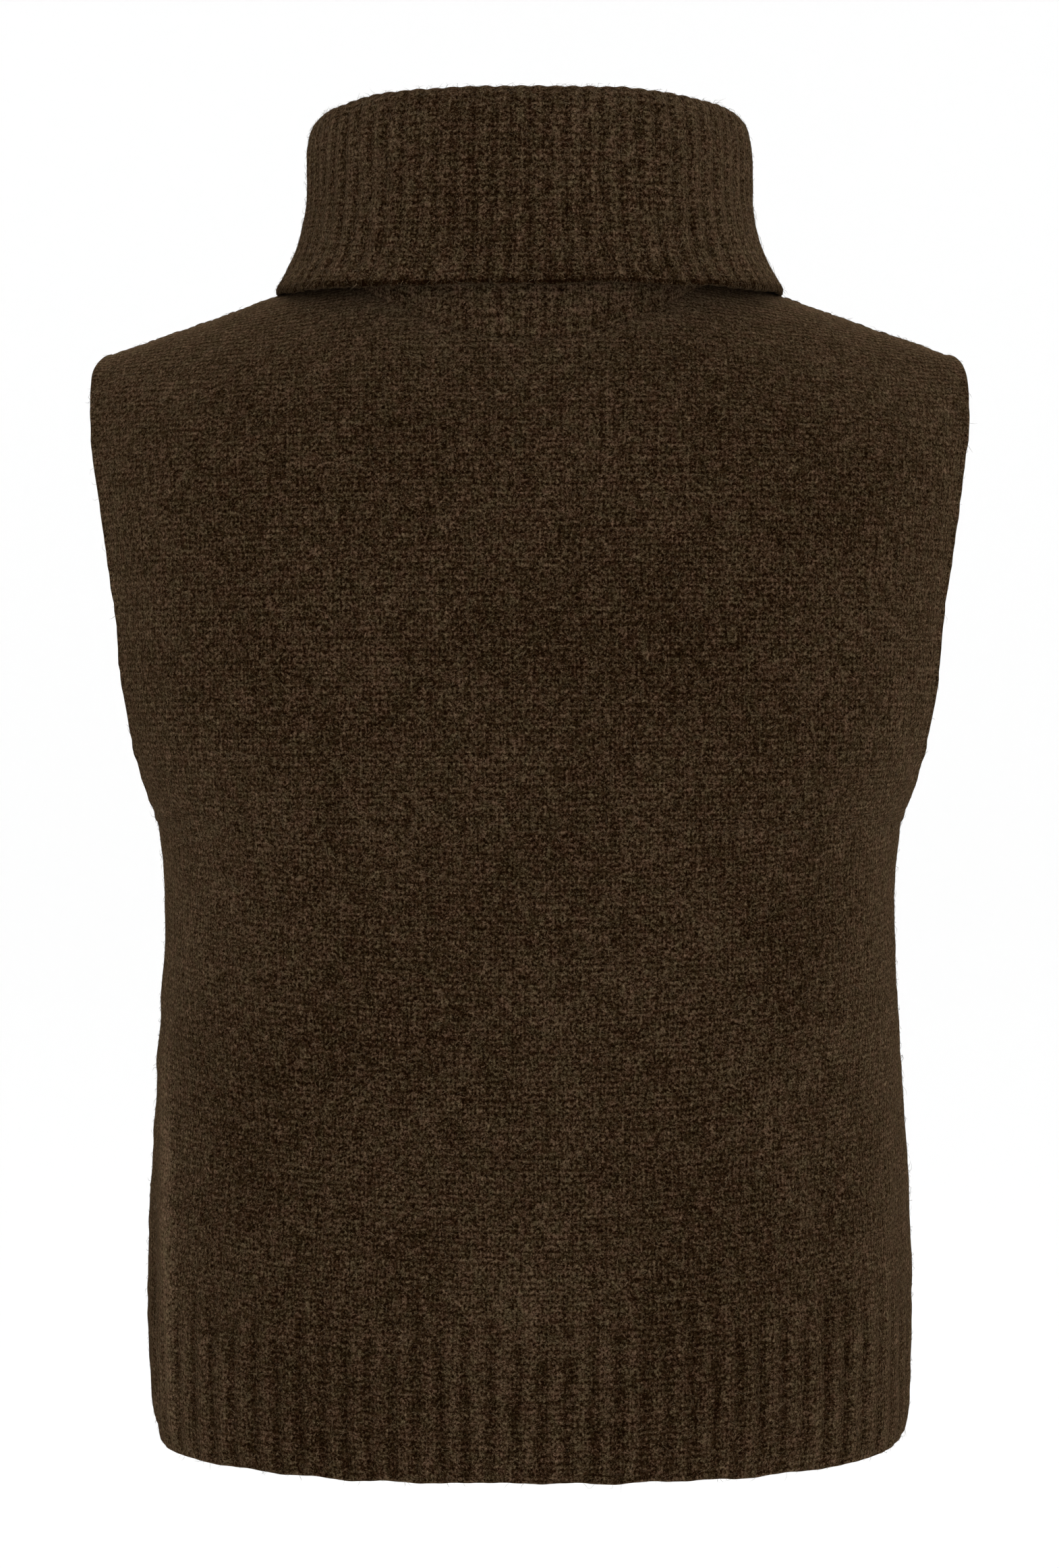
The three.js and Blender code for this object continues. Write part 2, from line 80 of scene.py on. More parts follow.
bpy.ops.mesh.primitive_plane_add(size=SWEEP_SIZE, location=(0, SWEEP_WALL_Y - SWEEP_SIZE / 2, FLOOR_Z))
sweep = bpy.context.object
sweep.name = "sweep"
bpy.ops.object.mode_set(mode="EDIT")
bpy.ops.mesh.select_mode(type="EDGE")
bpy.ops.mesh.select_all(action="DESELECT")
bpy.ops.object.mode_set(mode="OBJECT")
for edge in sweep.data.edges:
    edge.select = all(sweep.data.vertices[i].co.y > 0 for i in edge.vertices)
bpy.ops.object.mode_set(mode="EDIT")
bpy.ops.mesh.extrude_region_move(TRANSFORM_OT_translate={"value": (0, 0, SWEEP_HEIGHT)})
bpy.ops.object.mode_set(mode="OBJECT")
for edge in sweep.data.edges:
    ends = [sweep.data.vertices[i].co for i in edge.vertices]
    edge.select = all(end.y > 0 and end.z < 1 for end in ends)
bpy.ops.object.mode_set(mode="EDIT")
bpy.ops.mesh.bevel(offset=SWEEP_BEND, segments=SWEEP_BEND_STEPS)
bpy.ops.object.mode_set(mode="OBJECT")
bpy.ops.object.transform_apply(location=True, rotation=True, scale=True)
bpy.ops.object.shade_smooth()
sweep.select_set(False)
paper = bpy.data.materials.new("pale_paper")
paper.use_nodes = True
paper_shader = paper.node_tree.nodes["Principled BSDF"]
paper_shader.inputs["Roughness"].default_value = 0.9
paper_grain = paper.node_tree.nodes.new("ShaderNodeTexNoise")
paper_grain.inputs["Scale"].default_value = 1.5
paper_tone = two_tones(paper.node_tree, paper_grain.outputs["Fac"], PAPER_TONES)
paper.node_tree.links.new(paper_tone, paper_shader.inputs["Base Color"])
sweep.data.materials.append(paper)

world = bpy.data.worlds.new("soft_white")
world.use_nodes = True
world.node_tree.nodes["Background"].inputs["Color"].default_value = (1, 1, 1, 1)
world.node_tree.nodes["Background"].inputs["Strength"].default_value = WORLD_LIGHT
scene.world = world


def soft_light(name, place, aim, size, power):
    """A square soft box that points at a place on the vest."""
    data = bpy.data.lights.new(name, "AREA")
    data.shape = "RECTANGLE"
    data.size, data.size_y = size
    data.energy = power
    light = bpy.data.objects.new(name, data)
    light.location = place
    light.rotation_euler = (Vector(aim) - Vector(place)).to_track_quat("-Z", "Y").to_euler()
    scene.collection.objects.link(light)


soft_light("key_light", (0.3, -2.8, -0.1), (0, 0, -0.25), (1.6, 1.6), 27)
soft_light("left_edge_light", (-1.9, 0.9, 0.0), (0, 0, -0.25), (0.9, 1.8), 4)
soft_light("right_edge_light", (1.9, 0.9, 0.0), (0, 0, -0.25), (0.9, 1.8), 10)
soft_light("top_light", (0, 1.0, 1.5), (0, 0, -0.1), (1.4, 0.8), 19)

# Back: one panel of brushed wool jersey, shaped at the armholes and the neck as it is knitted, with a
# ribbed hem of its own. It is linked to the front along the shoulders and the sides.
BACK = -1
FRONT = 1
MM = 0.001
WALL = 3.0
SEAM_GAP = 0.6
HEM_RIB_RAISE = 0.85
NECK_POINT_X = 86.0
NECK_DEPTH = {BACK: 83.0, FRONT: 77.0}
SHOULDER_TIP_X = 195.5
SHOULDER_DROP = 39.0
YOKE_Z = -130.0
RISE_STEP = 8
UNDERARM_Z = -254.0
SHOULDER_CROWN = 0.1
RISE_REACH = 0.55
SHOULDER_REACH = 0.5
REACH_FLATNESS = 0.6
TIP_LEAN = 0.26
HEM_SIDE_Z = -529.0
HEM_MIDDLE_Z = {BACK: -539.0, FRONT: -538.0}
HEM_BAND_HEIGHT = 92.0
RIB_FADE_HEIGHT = 46.0
HEM_SCALLOP = 0.2
HEM_UNEVEN_HEIGHT = 14.0
HEM_CORNER_RISE = 3.2
HEM_CORNER_HEIGHT = 30.0
CORNER_START = 0.76
CORNER_SPAN = 0.24
HEM_TUCK = 1.3
HEM_TUCK_HEIGHT = 13.0
BODY_SQUARENESS = 2.5
COLLAR_SQUARENESS = 2.3
FOLD_FADE_HEIGHT = 110.0
HALVINGS = 30

# The share of a panel's half width that lies under the neck: 16 of the 36 columns of the solids
NECK_SHARE = 16 / 36

# Level sections of the body's tube, from the yoke down
BODY_COLUMNS = ("z", "half_width", "back", "front", "back_edge", "front_edge")
BODY_SECTIONS = [
    (-130, 201.0, 110, 101, 49, 46),
    (-155, 197.3, 113, 110, 51, 48),
    (-186, 193.3, 113, 119, 49, 46),
    (-216, 185.3, 111, 123, 41, 39),
    (-236, 176.4, 109, 124, 29, 28),
    (-248, 171.2, 108, 124, 17, 16),
    (-254, 169.4, 108, 124, 0, 0),
    (-290, 166.4, 106, 122, 0, 0),
    (-340, 168.6, 105, 119, 0, 0),
    (-403, 172.0, 108, 117, 0, 0),
    (-450, 173.6, 112, 117, 0, 0),
    (-500, 172.8, 113, 117, 0, 0),
    (-545, 171.0, 112, 116, 0, 0),
]

# Wide soft folds, as in the solids: panel, across, width, top, height, lean
FOLDS = [
    (BACK, -0.5, 0.24, -300, -3.0, 0.1),
    (BACK, 0.06, 0.22, -280, 2.5, -0.05),
    (BACK, 0.55, 0.2, -340, -2.4, -0.08),
    (BACK, -0.9, 0.05, -370, -3.4, 0.0),
    (FRONT, -0.58, 0.2, -250, -3.6, 0.12),
    (FRONT, -0.12, 0.24, -300, 2.6, 0.04),
    (FRONT, 0.3, 0.18, -330, -2.6, -0.06),
    (FRONT, 0.64, 0.2, -250, -3.2, -0.14),
]

# Smaller creases, each a soft trough or ridge between two places: panel, x and z of both ends, width, height
CREASES = [
    (BACK, -92, -360, -25, -338, 7, -1.3),
    (BACK, -60, -372, -38, -352, 9, -0.8),
    (BACK, 14, -292, 44, -332, 8, 1.1),
    (BACK, 22, -278, 60, -318, 9, -0.9),
    (BACK, -96, -205, -82, -262, 11, -1.1),
    (BACK, -44, -415, -50, -480, 8, -1.2),
    (BACK, -26, -400, -22, -500, 7, 0.9),
    (BACK, -126, -380, -118, -430, 9, -1.0),
    (BACK, -140, -410, -132, -470, 8, -0.9),
    (BACK, 128, -400, 132, -485, 9, -1.4),
    (BACK, 96, -350, 118, -420, 9, 0.8),
    (BACK, -150, -262, -96, -292, 8, -1.0),
    (BACK, 148, -268, 104, -300, 9, -1.1),
    (BACK, 60, -150, 90, -205, 14, -0.9),
    (BACK, -163, -360, -159, -522, 4.5, 2.2),
    (BACK, -169, -370, -168, -515, 3, -1.0),
    (BACK, -178, -350, -178, -560, 7, 1.7),
    (BACK, 178, -380, 178, -560, 7, 1.2),
    (BACK, 166, -380, 165, -500, 4, -1.0),
    (FRONT, -96, -345, -30, -322, 8, -1.3),
    (FRONT, 24, -300, 70, -344, 8, 1.0),
    (FRONT, -44, -400, -52, -490, 8, -1.2),
    (FRONT, 40, -390, 34, -486, 8, 1.0),
    (FRONT, 118, -372, 128, -470, 9, -1.3),
    (FRONT, -128, -370, -120, -455, 9, -1.1),
    (FRONT, -148, -266, -92, -300, 9, -1.2),
    (FRONT, 150, -264, 98, -296, 9, -1.1),
    (FRONT, -178, -350, -178, -560, 7, 1.7),
    (FRONT, 178, -380, 178, -560, 7, 1.2),
]

# Painted light and shade in strips: lighter where a fold at the side faces the light, darker where the side
# turns away from it, and broad lighter and darker patches. They are laid out as the creases are, with a tone
PAINTED_LIGHT_STRIPS = [
    (BACK, -163, -310, -158.5, -540, 3.4, 1.0),
    (BACK, -175, -360, -173, -560, 6, -0.4),
    (FRONT, -175, -360, -173, -560, 6, -0.4),
    (BACK, -112, -330, -116, -450, 36, -0.2),
    (BACK, -60, -480, 70, -480, 80, 0.25),
    (BACK, 8, -420, -18, -500, 12, 0.15),
    (BACK, 60, -400, 62, -500, 16, -0.1),
    (BACK, -70, -230, -60, -330, 18, 0.1),
]

# The knit: its columns, the wales, are counted by the ribs of the hem, and its rows are the courses
HEM_RIBS = 43
WALES_PER_RIB = 3
WALES = HEM_RIBS * WALES_PER_RIB
COLUMNS_PER_WALE = 4
COURSE = 2.7
WALE_RAISE = 0.18
WALE_WIDTH = 3.72
RIB_GAP_WALES = 0.1
RIB_FLANK_WALES = 1.1
RIB_DRAWN_OUT = 0.3
SIDE_RIB_LOSS = 0.6
RIB_LOCK_Z = -310
RIB_LOCK_HEIGHT = 90

# The armhole's edge: a low bead with a groove beside it. The cloth is thinner where it rounds off.
EDGE_COLUMN_WIDTH = 3.7
ARMHOLE_FADE = 4
BEAD_RAISE = 0.42
BEAD_PLACE = 2.2
BEAD_WIDTH = 1.8
GROOVE_DEPTH = 0.3
GROOVE_PLACE = 6.0
GROOVE_WIDTH = 2.4
FAR_FROM_EDGE = 9.0
ROUND_EDGE_WIDTH = 1.6
THIN_EDGE_SHARE = 0.25

# Tones, with painted light and painted shade, stored in an attribute: a place is lighter the higher its value
# is
PANEL_TONE = 0.7
INSIDE_TONE = 0.5
RIB_GAP_PAINTED_SHADE = 0.52
RIB_CREST_PAINTED_LIGHT = 0.22
CREASE_PAINTED_SHADE = 0.12
TOP_PAINTED_LIGHT = 0.4
TOP_START = 0.7
TOP_SPAN = 0.3
SHOULDER_PAINTED_HIGHLIGHT = 0.95
SHOULDER_FADE = 0.08
LIGHTEST_TONE = 2.4

# Random unevenness: each by its strength, the length of its waves in mm and the seed of its draw
FIELD_WAVES = 14
FIELD_SPREAD = 5.3
WALE_SWAY = (0.06, 60, 11)
WALE_HEIGHTS = (0.3, 24, 12)
RIB_HEIGHTS = (0.28, 20, 13)
BROAD_WAVES = (0.26, 34, 14)
SMALL_WAVES = (0.2, 14, 15)
HEM_WAVES = (0.7, 34, 16)
BEAD_KNOTS = (0.9, 9, 17)
TONE_CLOUDS = (0.06, 110, 18)

# Rows and columns of the mesh. The added rows keep the bottom of the armhole round.
ARCH_ROWS = 40
LEVEL_ROWS = 118
UNDERARM_ROWS = [0.2839, 0.2923, 0.3008, 0.3030, 0.3072, 0.3093, 0.3105, 0.3118]
ARC_STEPS = 200
RIM_STEPS = (1.6, 0.6)
INNER_COLUMN_STRIDE = 4
INNER_ROW_STRIDE = 3


def smooth(t):
    """A step from 0 to 1 that starts and ends softly."""
    t = np.clip(t, 0, 1)
    return t * t * (3 - 2 * t)


def body_column(column, z):
    """One column of the body's sections at heights z, as a smooth curve through its rows."""
    table = np.array(BODY_SECTIONS, float)
    heights, values = table[:, 0], table[:, BODY_COLUMNS.index(column)]
    before = np.maximum(np.arange(len(table)) - 1, 0)
    after = np.minimum(np.arange(len(table)) + 1, len(table) - 1)
    slopes = (values[after] - values[before]) / (heights[after] - heights[before])
    i = np.clip(np.searchsorted(-heights, -z, side="left") - 1, 0, len(table) - 2)
    span = heights[i + 1] - heights[i]
    t = np.clip((z - heights[i]) / span, 0, 1)
    ends = values[i] * (2 * t**3 - 3 * t**2 + 1) + values[i + 1] * (3 * t**2 - 2 * t**3)
    return ends + slopes[i] * span * (t**3 - 2 * t**2 + t) + slopes[i + 1] * span * (t**3 - t**2)


def quarter_ring(turn, squareness):
    """A quarter of a squared ring, from its side at turn 0 to its middle at turn 1."""
    angle = np.clip(turn, 0, 1) * math.pi / 2
    return np.cos(angle) ** (2 / squareness), np.sin(angle) ** (2 / squareness)


def turn_at_share(share, half_width, depth, squareness, edge):
    """The turns of quarter rings at shares of their length, from the middle to the side or to the armhole."""
    side, middle = quarter_ring(1 - np.linspace(0, 1, ARC_STEPS + 1), squareness)
    side_step, middle_step = np.diff(side), np.diff(middle)
    half_width, depth, edge, share = (np.asarray(v, float)[:, None] for v in (half_width, depth, edge, share))
    steps = np.hypot(side_step * half_width, middle_step * depth)
    uncut = np.clip((middle[:-1] * depth - edge) / (-middle_step * depth), 0, 1)
    lengths = np.concatenate([np.zeros_like(share), np.cumsum(steps * uncut, axis=1)], axis=1)
    target = share * lengths[:, -1:]
    i = np.clip((lengths < target - 1e-9).sum(axis=1), 1, ARC_STEPS)
    rows = np.arange(len(i))
    low, high = lengths[rows, i - 1], lengths[rows, i]
    last = high >= lengths[:, -1] - 1e-9
    part = np.where(last, uncut[rows, i - 1], 1.0)
    within = part * (target[:, 0] - low) / np.maximum(high - low, 1e-9)
    return 1 - (i - 1 + within) / ARC_STEPS


def fold_height(panel, across, z):
    """How far the wide folds stand out of a panel."""
    height = np.zeros_like(z)
    for side, place, width, top, size, lean in FOLDS:
        if side == panel:
            down = (top - z) / FOLD_FADE_HEIGHT
            offset = (across - place - lean * np.minimum(down / 2, 1)) / width
            height = height + size * smooth(down) * np.exp(-offset * offset)
    return height


def level_points(panel, across, z):
    """Points of a panel's middle surface below the yoke."""
    half_width = body_column("half_width", z)
    depth = body_column("back" if panel == BACK else "front", z)
    edge = np.maximum(body_column("back_edge" if panel == BACK else "front_edge", z), SEAM_GAP / 2)
    turn = turn_at_share(np.abs(across), half_width, depth, BODY_SQUARENESS, edge)
    side, middle = quarter_ring(turn, BODY_SQUARENESS)
    out = 1 + fold_height(panel, across, z) * (1 - across**8) / depth
    return np.stack([np.sign(across) * half_width * side * out, panel * depth * middle * out, z], axis=1)


def shoulder_line(x):
    """The height of the shoulder seam: straight outside the neck, and on a soft arch inside it."""
    slope = SHOULDER_DROP / (SHOULDER_TIP_X - NECK_POINT_X)
    inside = slope * NECK_POINT_X * (1 - (x / NECK_POINT_X) ** 2) / 2
    return np.where(x > NECK_POINT_X, -slope * (x - NECK_POINT_X), inside)


def arches(panel, across):
    """The four control points of each column's curve from the yoke to the shoulder line."""
    share = np.abs(across)
    hand = np.where(across < 0, -1.0, 1.0)
    q = np.maximum((share - NECK_SHARE) / (1 - NECK_SHARE), 0)
    x = np.minimum(share / NECK_SHARE, 1) * NECK_POINT_X + q * (SHOULDER_TIP_X - NECK_POINT_X)
    yoke = np.full_like(across, YOKE_Z)
    start = level_points(panel, across, yoke)
    rise = (start - level_points(panel, across, yoke - RISE_STEP)) / RISE_STEP
    end = np.stack([hand * x, np.full_like(x, panel * SEAM_GAP / 2), shoulder_line(x)], axis=1)
    leaning = -hand * TIP_LEAN * q**4
    arriving = np.stack([leaning, np.full_like(x, -panel), np.full_like(x, SHOULDER_CROWN)], axis=1)
    arriving /= np.linalg.norm(arriving, axis=1, keepdims=True)
    up = RISE_REACH * (end[:, 2] - start[:, 2])
    over = SHOULDER_REACH * np.hypot(end[:, 1] - start[:, 1], REACH_FLATNESS * (end[:, 2] - start[:, 2]))
    return start, start + rise * up[:, None], end - arriving * over[:, None], end


def on_arch(curve, t):
    """Points at shares t of the way along the arches."""
    a, b, c, d = curve
    t = np.asarray(t, float)[:, None]
    return a * (1 - t) ** 3 + 3 * b * t * (1 - t) ** 2 + 3 * c * t * t * (1 - t) + d * t**3


def neck_cut(panel, across, curve):
    """How far along its arch each column is cut by the neckline, or 1 at the shoulder seam."""
    outside, inside = np.zeros_like(across), np.ones_like(across)
    for _ in range(HALVINGS):
        middle = (outside + inside) / 2
        point = on_arch(curve, middle)
        reach = np.abs(point[:, 0] / NECK_POINT_X) ** COLLAR_SQUARENESS
        reach = reach + np.abs(point[:, 1] / NECK_DEPTH[panel]) ** COLLAR_SQUARENESS
        outside = np.where(reach > 1, middle, outside)
        inside = np.where(reach > 1, inside, middle)
    return np.where(np.abs(across) > NECK_SHARE - 1e-6, 1.0, inside)


def panel_row(panel, across, down):
    """A row of a panel. down runs from -1 at the top edge, through 0 at the yoke, to 1 at the hem."""
    if down >= 0:
        hem = HEM_MIDDLE_Z[panel] + (HEM_SIDE_Z - HEM_MIDDLE_Z[panel]) * across**4
        return level_points(panel, across, YOKE_Z + (hem - YOKE_Z) * down)
    curve = arches(panel, across)
    return on_arch(curve, -down * neck_cut(panel, across, curve))


def unevenness(kind, x, y):
    """A smooth random field, mostly between minus and plus its strength."""
    strength, wavelength, seed = kind
    draw = np.random.default_rng(seed)
    total = np.zeros_like(x)
    for _ in range(FIELD_WAVES):
        way, phase = draw.uniform(0, math.tau, 2)
        pitch = wavelength * draw.uniform(0.7, 1.6)
        total = total + np.cos(math.tau / pitch * (x * math.cos(way) + y * math.sin(way)) + phase)
    return strength * (total / FIELD_SPREAD)


def along_lines(lines, panel, x, z, end_share):
    """The heights of creases, or the painted light and shade of strips, at places on a panel. They fade
    towards their ends.
    """
    height = np.zeros_like(x)
    for side, x0, z0, x1, z1, width, size in lines:
        if side == panel:
            run = (x1 - x0) ** 2 + (z1 - z0) ** 2
            t = ((x - x0) * (x1 - x0) + (z - z0) * (z1 - z0)) / run
            held = np.clip(t, 0, 1)
            off = np.hypot(x - x0 - held * (x1 - x0), z - z0 - held * (z1 - z0)) / width
            fading = end_share + (1 - end_share) * np.sin(held * math.pi)
            height = height + size * np.exp(-off * off) * fading
    return height


def surface_normals(points):
    """Unit normals of a grid of points, rows by columns."""
    across = np.gradient(points, axis=1)
    down = np.gradient(points, axis=0)
    normals = np.cross(across, down)
    return normals / np.maximum(np.linalg.norm(normals, axis=2, keepdims=True), 1e-9)


def close_wall(outer, inner, is_ring):
    """The faces of a closed wall between a fine outer grid and a coarser inner grid of points."""
    rows, columns = outer.shape[:2]
    inner_rows, inner_columns = inner.shape[:2]
    outer_at = np.arange(rows * columns).reshape(rows, columns)
    inner_at = rows * columns + np.arange(inner_rows * inner_columns).reshape(inner_rows, inner_columns)
    if is_ring:
        outer_at = np.hstack([outer_at, outer_at[:, :1]])
        inner_at = np.hstack([inner_at, inner_at[:, :1]])

    def quads(at, flip):
        a, b, c, d = at[:-1, :-1], at[:-1, 1:], at[1:, 1:], at[1:, :-1]
        order = (a, b, c, d) if flip else (a, d, c, b)
        return np.stack(order, axis=-1).reshape(-1, 4)

    def strip(fine, coarse, flip):
        faces = []
        i = j = 0
        m, n = len(fine) - 1, len(coarse) - 1
        while i < m or j < n:
            take_fine = j >= n or (i < m and (i + 1) / m <= (j + 1) / n + 1e-9)
            corner = fine[i + 1] if take_fine else coarse[j + 1]
            faces.append((fine[i], corner, coarse[j]) if flip else (fine[i], coarse[j], corner))
            i, j = (i + 1, j) if take_fine else (i, j + 1)
        return faces

    triangles = strip(outer_at[0], inner_at[0], True) + strip(outer_at[-1], inner_at[-1], False)
    if not is_ring:
        triangles += strip(outer_at[:, 0], inner_at[:, 0], False)
        triangles += strip(outer_at[:, -1], inner_at[:, -1], True)
    return quads(outer_at, False), quads(inner_at, True), triangles


def mesh_object(name, points, faces):
    """An object made of points in millimetres and faces between them."""
    mesh = bpy.data.meshes.new(name)
    mesh.from_pydata((points * MM).tolist(), [], faces)
    mesh.update()
    made = bpy.data.objects.new(name, mesh)
    scene.collection.objects.link(made)
    return made


def set_knit(mesh, corner_stitches, painted_light_and_tone):
    """Give a mesh the UV map counted in stitches and the attribute of its tone and painted light and shade,
    and shade it smooth.
    """
    uv = mesh.uv_layers.new(name="stitches")
    uv.data.foreach_set("uv", corner_stitches.astype(np.float32).ravel())
    crest = mesh.attributes.new("painted_light_and_tone", "FLOAT", "POINT")
    crest.data.foreach_set("value", painted_light_and_tone.astype(np.float32))
    mesh.polygons.foreach_set("use_smooth", [True] * len(mesh.polygons))


def cloth_object(name, outer, inner, is_ring, stitches, painted_light_and_tone):
    """A closed wall as an object. Its outside has the first material and its inside the second."""
    outer_quads, inner_quads, triangles = close_wall(outer, inner, is_ring)
    faces = outer_quads.tolist() + inner_quads.tolist() + [tuple(int(i) for i in t) for t in triangles]
    cloth = mesh_object(name, np.concatenate([outer.reshape(-1, 3), inner.reshape(-1, 3)]), faces)
    mesh = cloth.data
    corners = np.empty(len(mesh.loops), int)
    mesh.loops.foreach_get("vertex_index", corners)
    set_knit(mesh, stitches[corners], painted_light_and_tone)
    inner_start, inner_end = len(outer_quads), len(outer_quads) + len(inner_quads)
    sides = [int(inner_start <= i < inner_end) for i in range(len(mesh.polygons))]
    mesh.polygons.foreach_set("material_index", sides)
    return cloth


def panel_wales(panel, across, downs, middle):
    """The stitch column at each place, counted from the panel's middle. The columns run straight down, and
    the armholes cut them. Above the yoke they spread to the shoulder, and in the hem they follow the ribs."""
    spans = np.linalg.norm(np.diff(middle, axis=1), axis=2)
    lengths = np.concatenate([np.zeros((len(downs), 1)), np.cumsum(spans, axis=1)], axis=1)
    centre = len(across) // 2
    from_centre = (lengths - lengths[:, centre : centre + 1]) * -panel
    _, _, _, end = arches(panel, across)
    shoulder = np.hypot(end[:, 0], end[:, 2] - end[centre, 2]) * np.sign(across)
    rows = from_centre.copy()
    for k in range(ARCH_ROWS):
        t = -downs[k]
        rows[k] = from_centre[ARCH_ROWS] * (1 - smooth(t)) + shoulder * smooth(t)
    locked = smooth((RIB_LOCK_Z - middle[:, :, 2]) / RIB_LOCK_HEIGHT)
    return rows / WALE_WIDTH * (1 - locked) + across[None, :] * WALES / 2 * locked


def panel_cloth(panel, name):
    """One panel with its ribbed hem, as a closed wall with wales, ribs and creases in its outer face."""
    height = YOKE_Z - HEM_MIDDLE_Z[panel]
    downs = [-1 + i / ARCH_ROWS for i in range(ARCH_ROWS)]
    downs += sorted([i / LEVEL_ROWS for i in range(LEVEL_ROWS)] + UNDERARM_ROWS)
    downs += [1 - rim / height for rim in RIM_STEPS] + [1.0]
    across = np.linspace(-1, 1, WALES * COLUMNS_PER_WALE + 1) * -panel
    middle = np.array([panel_row(panel, across, down) for down in downs])
    normals = surface_normals(middle)
    outward = np.sign((normals[:, :, 1] * panel).sum())
    normals *= outward
    normals[0] = normals[1]
    down_grid = np.repeat(np.array(downs)[:, None], len(across), axis=1)
    across_grid = np.repeat(across[None, :], len(downs), axis=0)
    x, z = middle[:, :, 0], middle[:, :, 2]
    wale = panel_wales(panel, across, downs, middle)
    steps = np.linalg.norm(np.diff(middle, axis=0), axis=2)
    run = np.concatenate([np.zeros((1, len(across))), np.cumsum(steps, axis=0)])
    run = run - run[ARCH_ROWS]

    # The wales, the hem's ribs and the creases
    from_hem = (1 - down_grid) * height
    rib = smooth((HEM_BAND_HEIGHT - from_hem) / RIB_FADE_HEIGHT)
    half_rib = WALES_PER_RIB / 2
    to_gap = np.abs((wale + WALES / 2 + half_rib) % WALES_PER_RIB - half_rib)
    crest = smooth((to_gap - RIB_GAP_WALES) / RIB_FLANK_WALES)
    wale_wave = 0.5 + 0.5 * np.cos(math.tau * (wale + unevenness(WALE_SWAY, x, z)))
    raised = WALE_RAISE * (wale_wave - 0.5) * (1 + unevenness(WALE_HEIGHTS, x, z))
    rib_height = HEM_RIB_RAISE * (1 + unevenness(RIB_HEIGHTS, x, z * RIB_DRAWN_OUT))
    raised = raised + rib * crest * rib_height * (1 - SIDE_RIB_LOSS * across_grid**10)
    creases = along_lines(CREASES, panel, x, z, 0.6)
    # The strips are painted light and shade, kept in the tone and not in the shape
    painted_strips = along_lines(PAINTED_LIGHT_STRIPS, panel, x, z, 0.0)
    raised = raised + creases
    raised = raised + unevenness(BROAD_WAVES, x, z) + unevenness(SMALL_WAVES, x, z)

    # The armhole's bead, and the rounding of every free edge
    free_edge = smooth((z - UNDERARM_Z) / ARMHOLE_FADE)
    armhole = (1 - np.abs(across_grid)) * WALES / 2 * EDGE_COLUMN_WIDTH
    bead = np.exp(-(((armhole - BEAD_PLACE) / BEAD_WIDTH) ** 2))
    bead = bead - GROOVE_DEPTH * np.exp(-(((armhole - GROOVE_PLACE) / GROOVE_WIDTH) ** 2))
    knots = 1 + unevenness(BEAD_KNOTS, z, z * 0 + panel * 90)
    raised = raised + BEAD_RAISE * bead * free_edge * knots
    rim = np.minimum(np.where(z > UNDERARM_Z, armhole, FAR_FROM_EDGE), from_hem)
    roundness = np.sqrt(1 - (1 - np.clip(rim / ROUND_EDGE_WIDTH, 0, 1)) ** 2)
    roundness = np.where(down_grid <= 0, np.where(free_edge > 0, roundness, 1), roundness)
    offset = (WALL / 2 + raised) * (THIN_EDGE_SHARE + (1 - THIN_EDGE_SHARE) * roundness)

    # The hem is uneven, a little higher at the side seams, and turns in at its edge
    uneven = unevenness(HEM_WAVES, x + panel * 40, z * 0) + HEM_SCALLOP * (crest - 0.5)
    middle[:, :, 2] += uneven * smooth(1 - from_hem / HEM_UNEVEN_HEIGHT) * (1 - across_grid**8)
    corner = smooth((np.abs(across_grid) - CORNER_START) / CORNER_SPAN)
    middle[:, :, 2] += HEM_CORNER_RISE * corner * smooth(1 - from_hem / HEM_CORNER_HEIGHT)
    tuck = HEM_TUCK * np.clip(1 - from_hem / HEM_TUCK_HEIGHT, 0, 1) ** 2
    middle -= normals * tuck[:, :, None]
    outer = middle + normals * offset[:, :, None]
    inner_rows = sorted({*range(0, len(downs), INNER_ROW_STRIDE), len(downs) - 1})
    inner_middle = middle[inner_rows][:, ::INNER_COLUMN_STRIDE]
    inner = inner_middle - normals[inner_rows][:, ::INNER_COLUMN_STRIDE] * (WALL / 2)
    stitches = np.stack([wale, run / COURSE], axis=2)
    inner_stitches = stitches[inner_rows][:, ::INNER_COLUMN_STRIDE]
    # Painted shade in the gaps of the hem's ribs, and painted light on their crests
    painted_light_and_tone = PANEL_TONE - rib * (1 - crest) * RIB_GAP_PAINTED_SHADE + rib * crest * RIB_CREST_PAINTED_LIGHT
    # Painted light near the top edge, where the collar's turnover shades the cloth by the neck, and a painted
    # highlight along the shoulders
    near_top = smooth((-down_grid - TOP_START) / TOP_SPAN)
    shoulder = smooth((np.abs(across_grid) - NECK_SHARE) / SHOULDER_FADE)
    painted_light_and_tone = painted_light_and_tone + near_top * (TOP_PAINTED_LIGHT + SHOULDER_PAINTED_HIGHLIGHT * shoulder)
    # Painted shade in the troughs of the creases and painted light on their ridges, then the strips and tone
    # that differs at random
    painted_light_and_tone = painted_light_and_tone + CREASE_PAINTED_SHADE * creases + painted_strips + unevenness(TONE_CLOUDS, x, z)
    painted_light_and_tone = np.clip(painted_light_and_tone, 0, LIGHTEST_TONE)
    inner_relief = np.full(inner.shape[:2], INSIDE_TONE)
    cloth = cloth_object(
        name, outer, inner, False,
        np.concatenate([stitches.reshape(-1, 2), inner_stitches.reshape(-1, 2)]),
        np.concatenate([painted_light_and_tone.ravel(), inner_relief.ravel()]),
    )
    return cloth, outer, normals


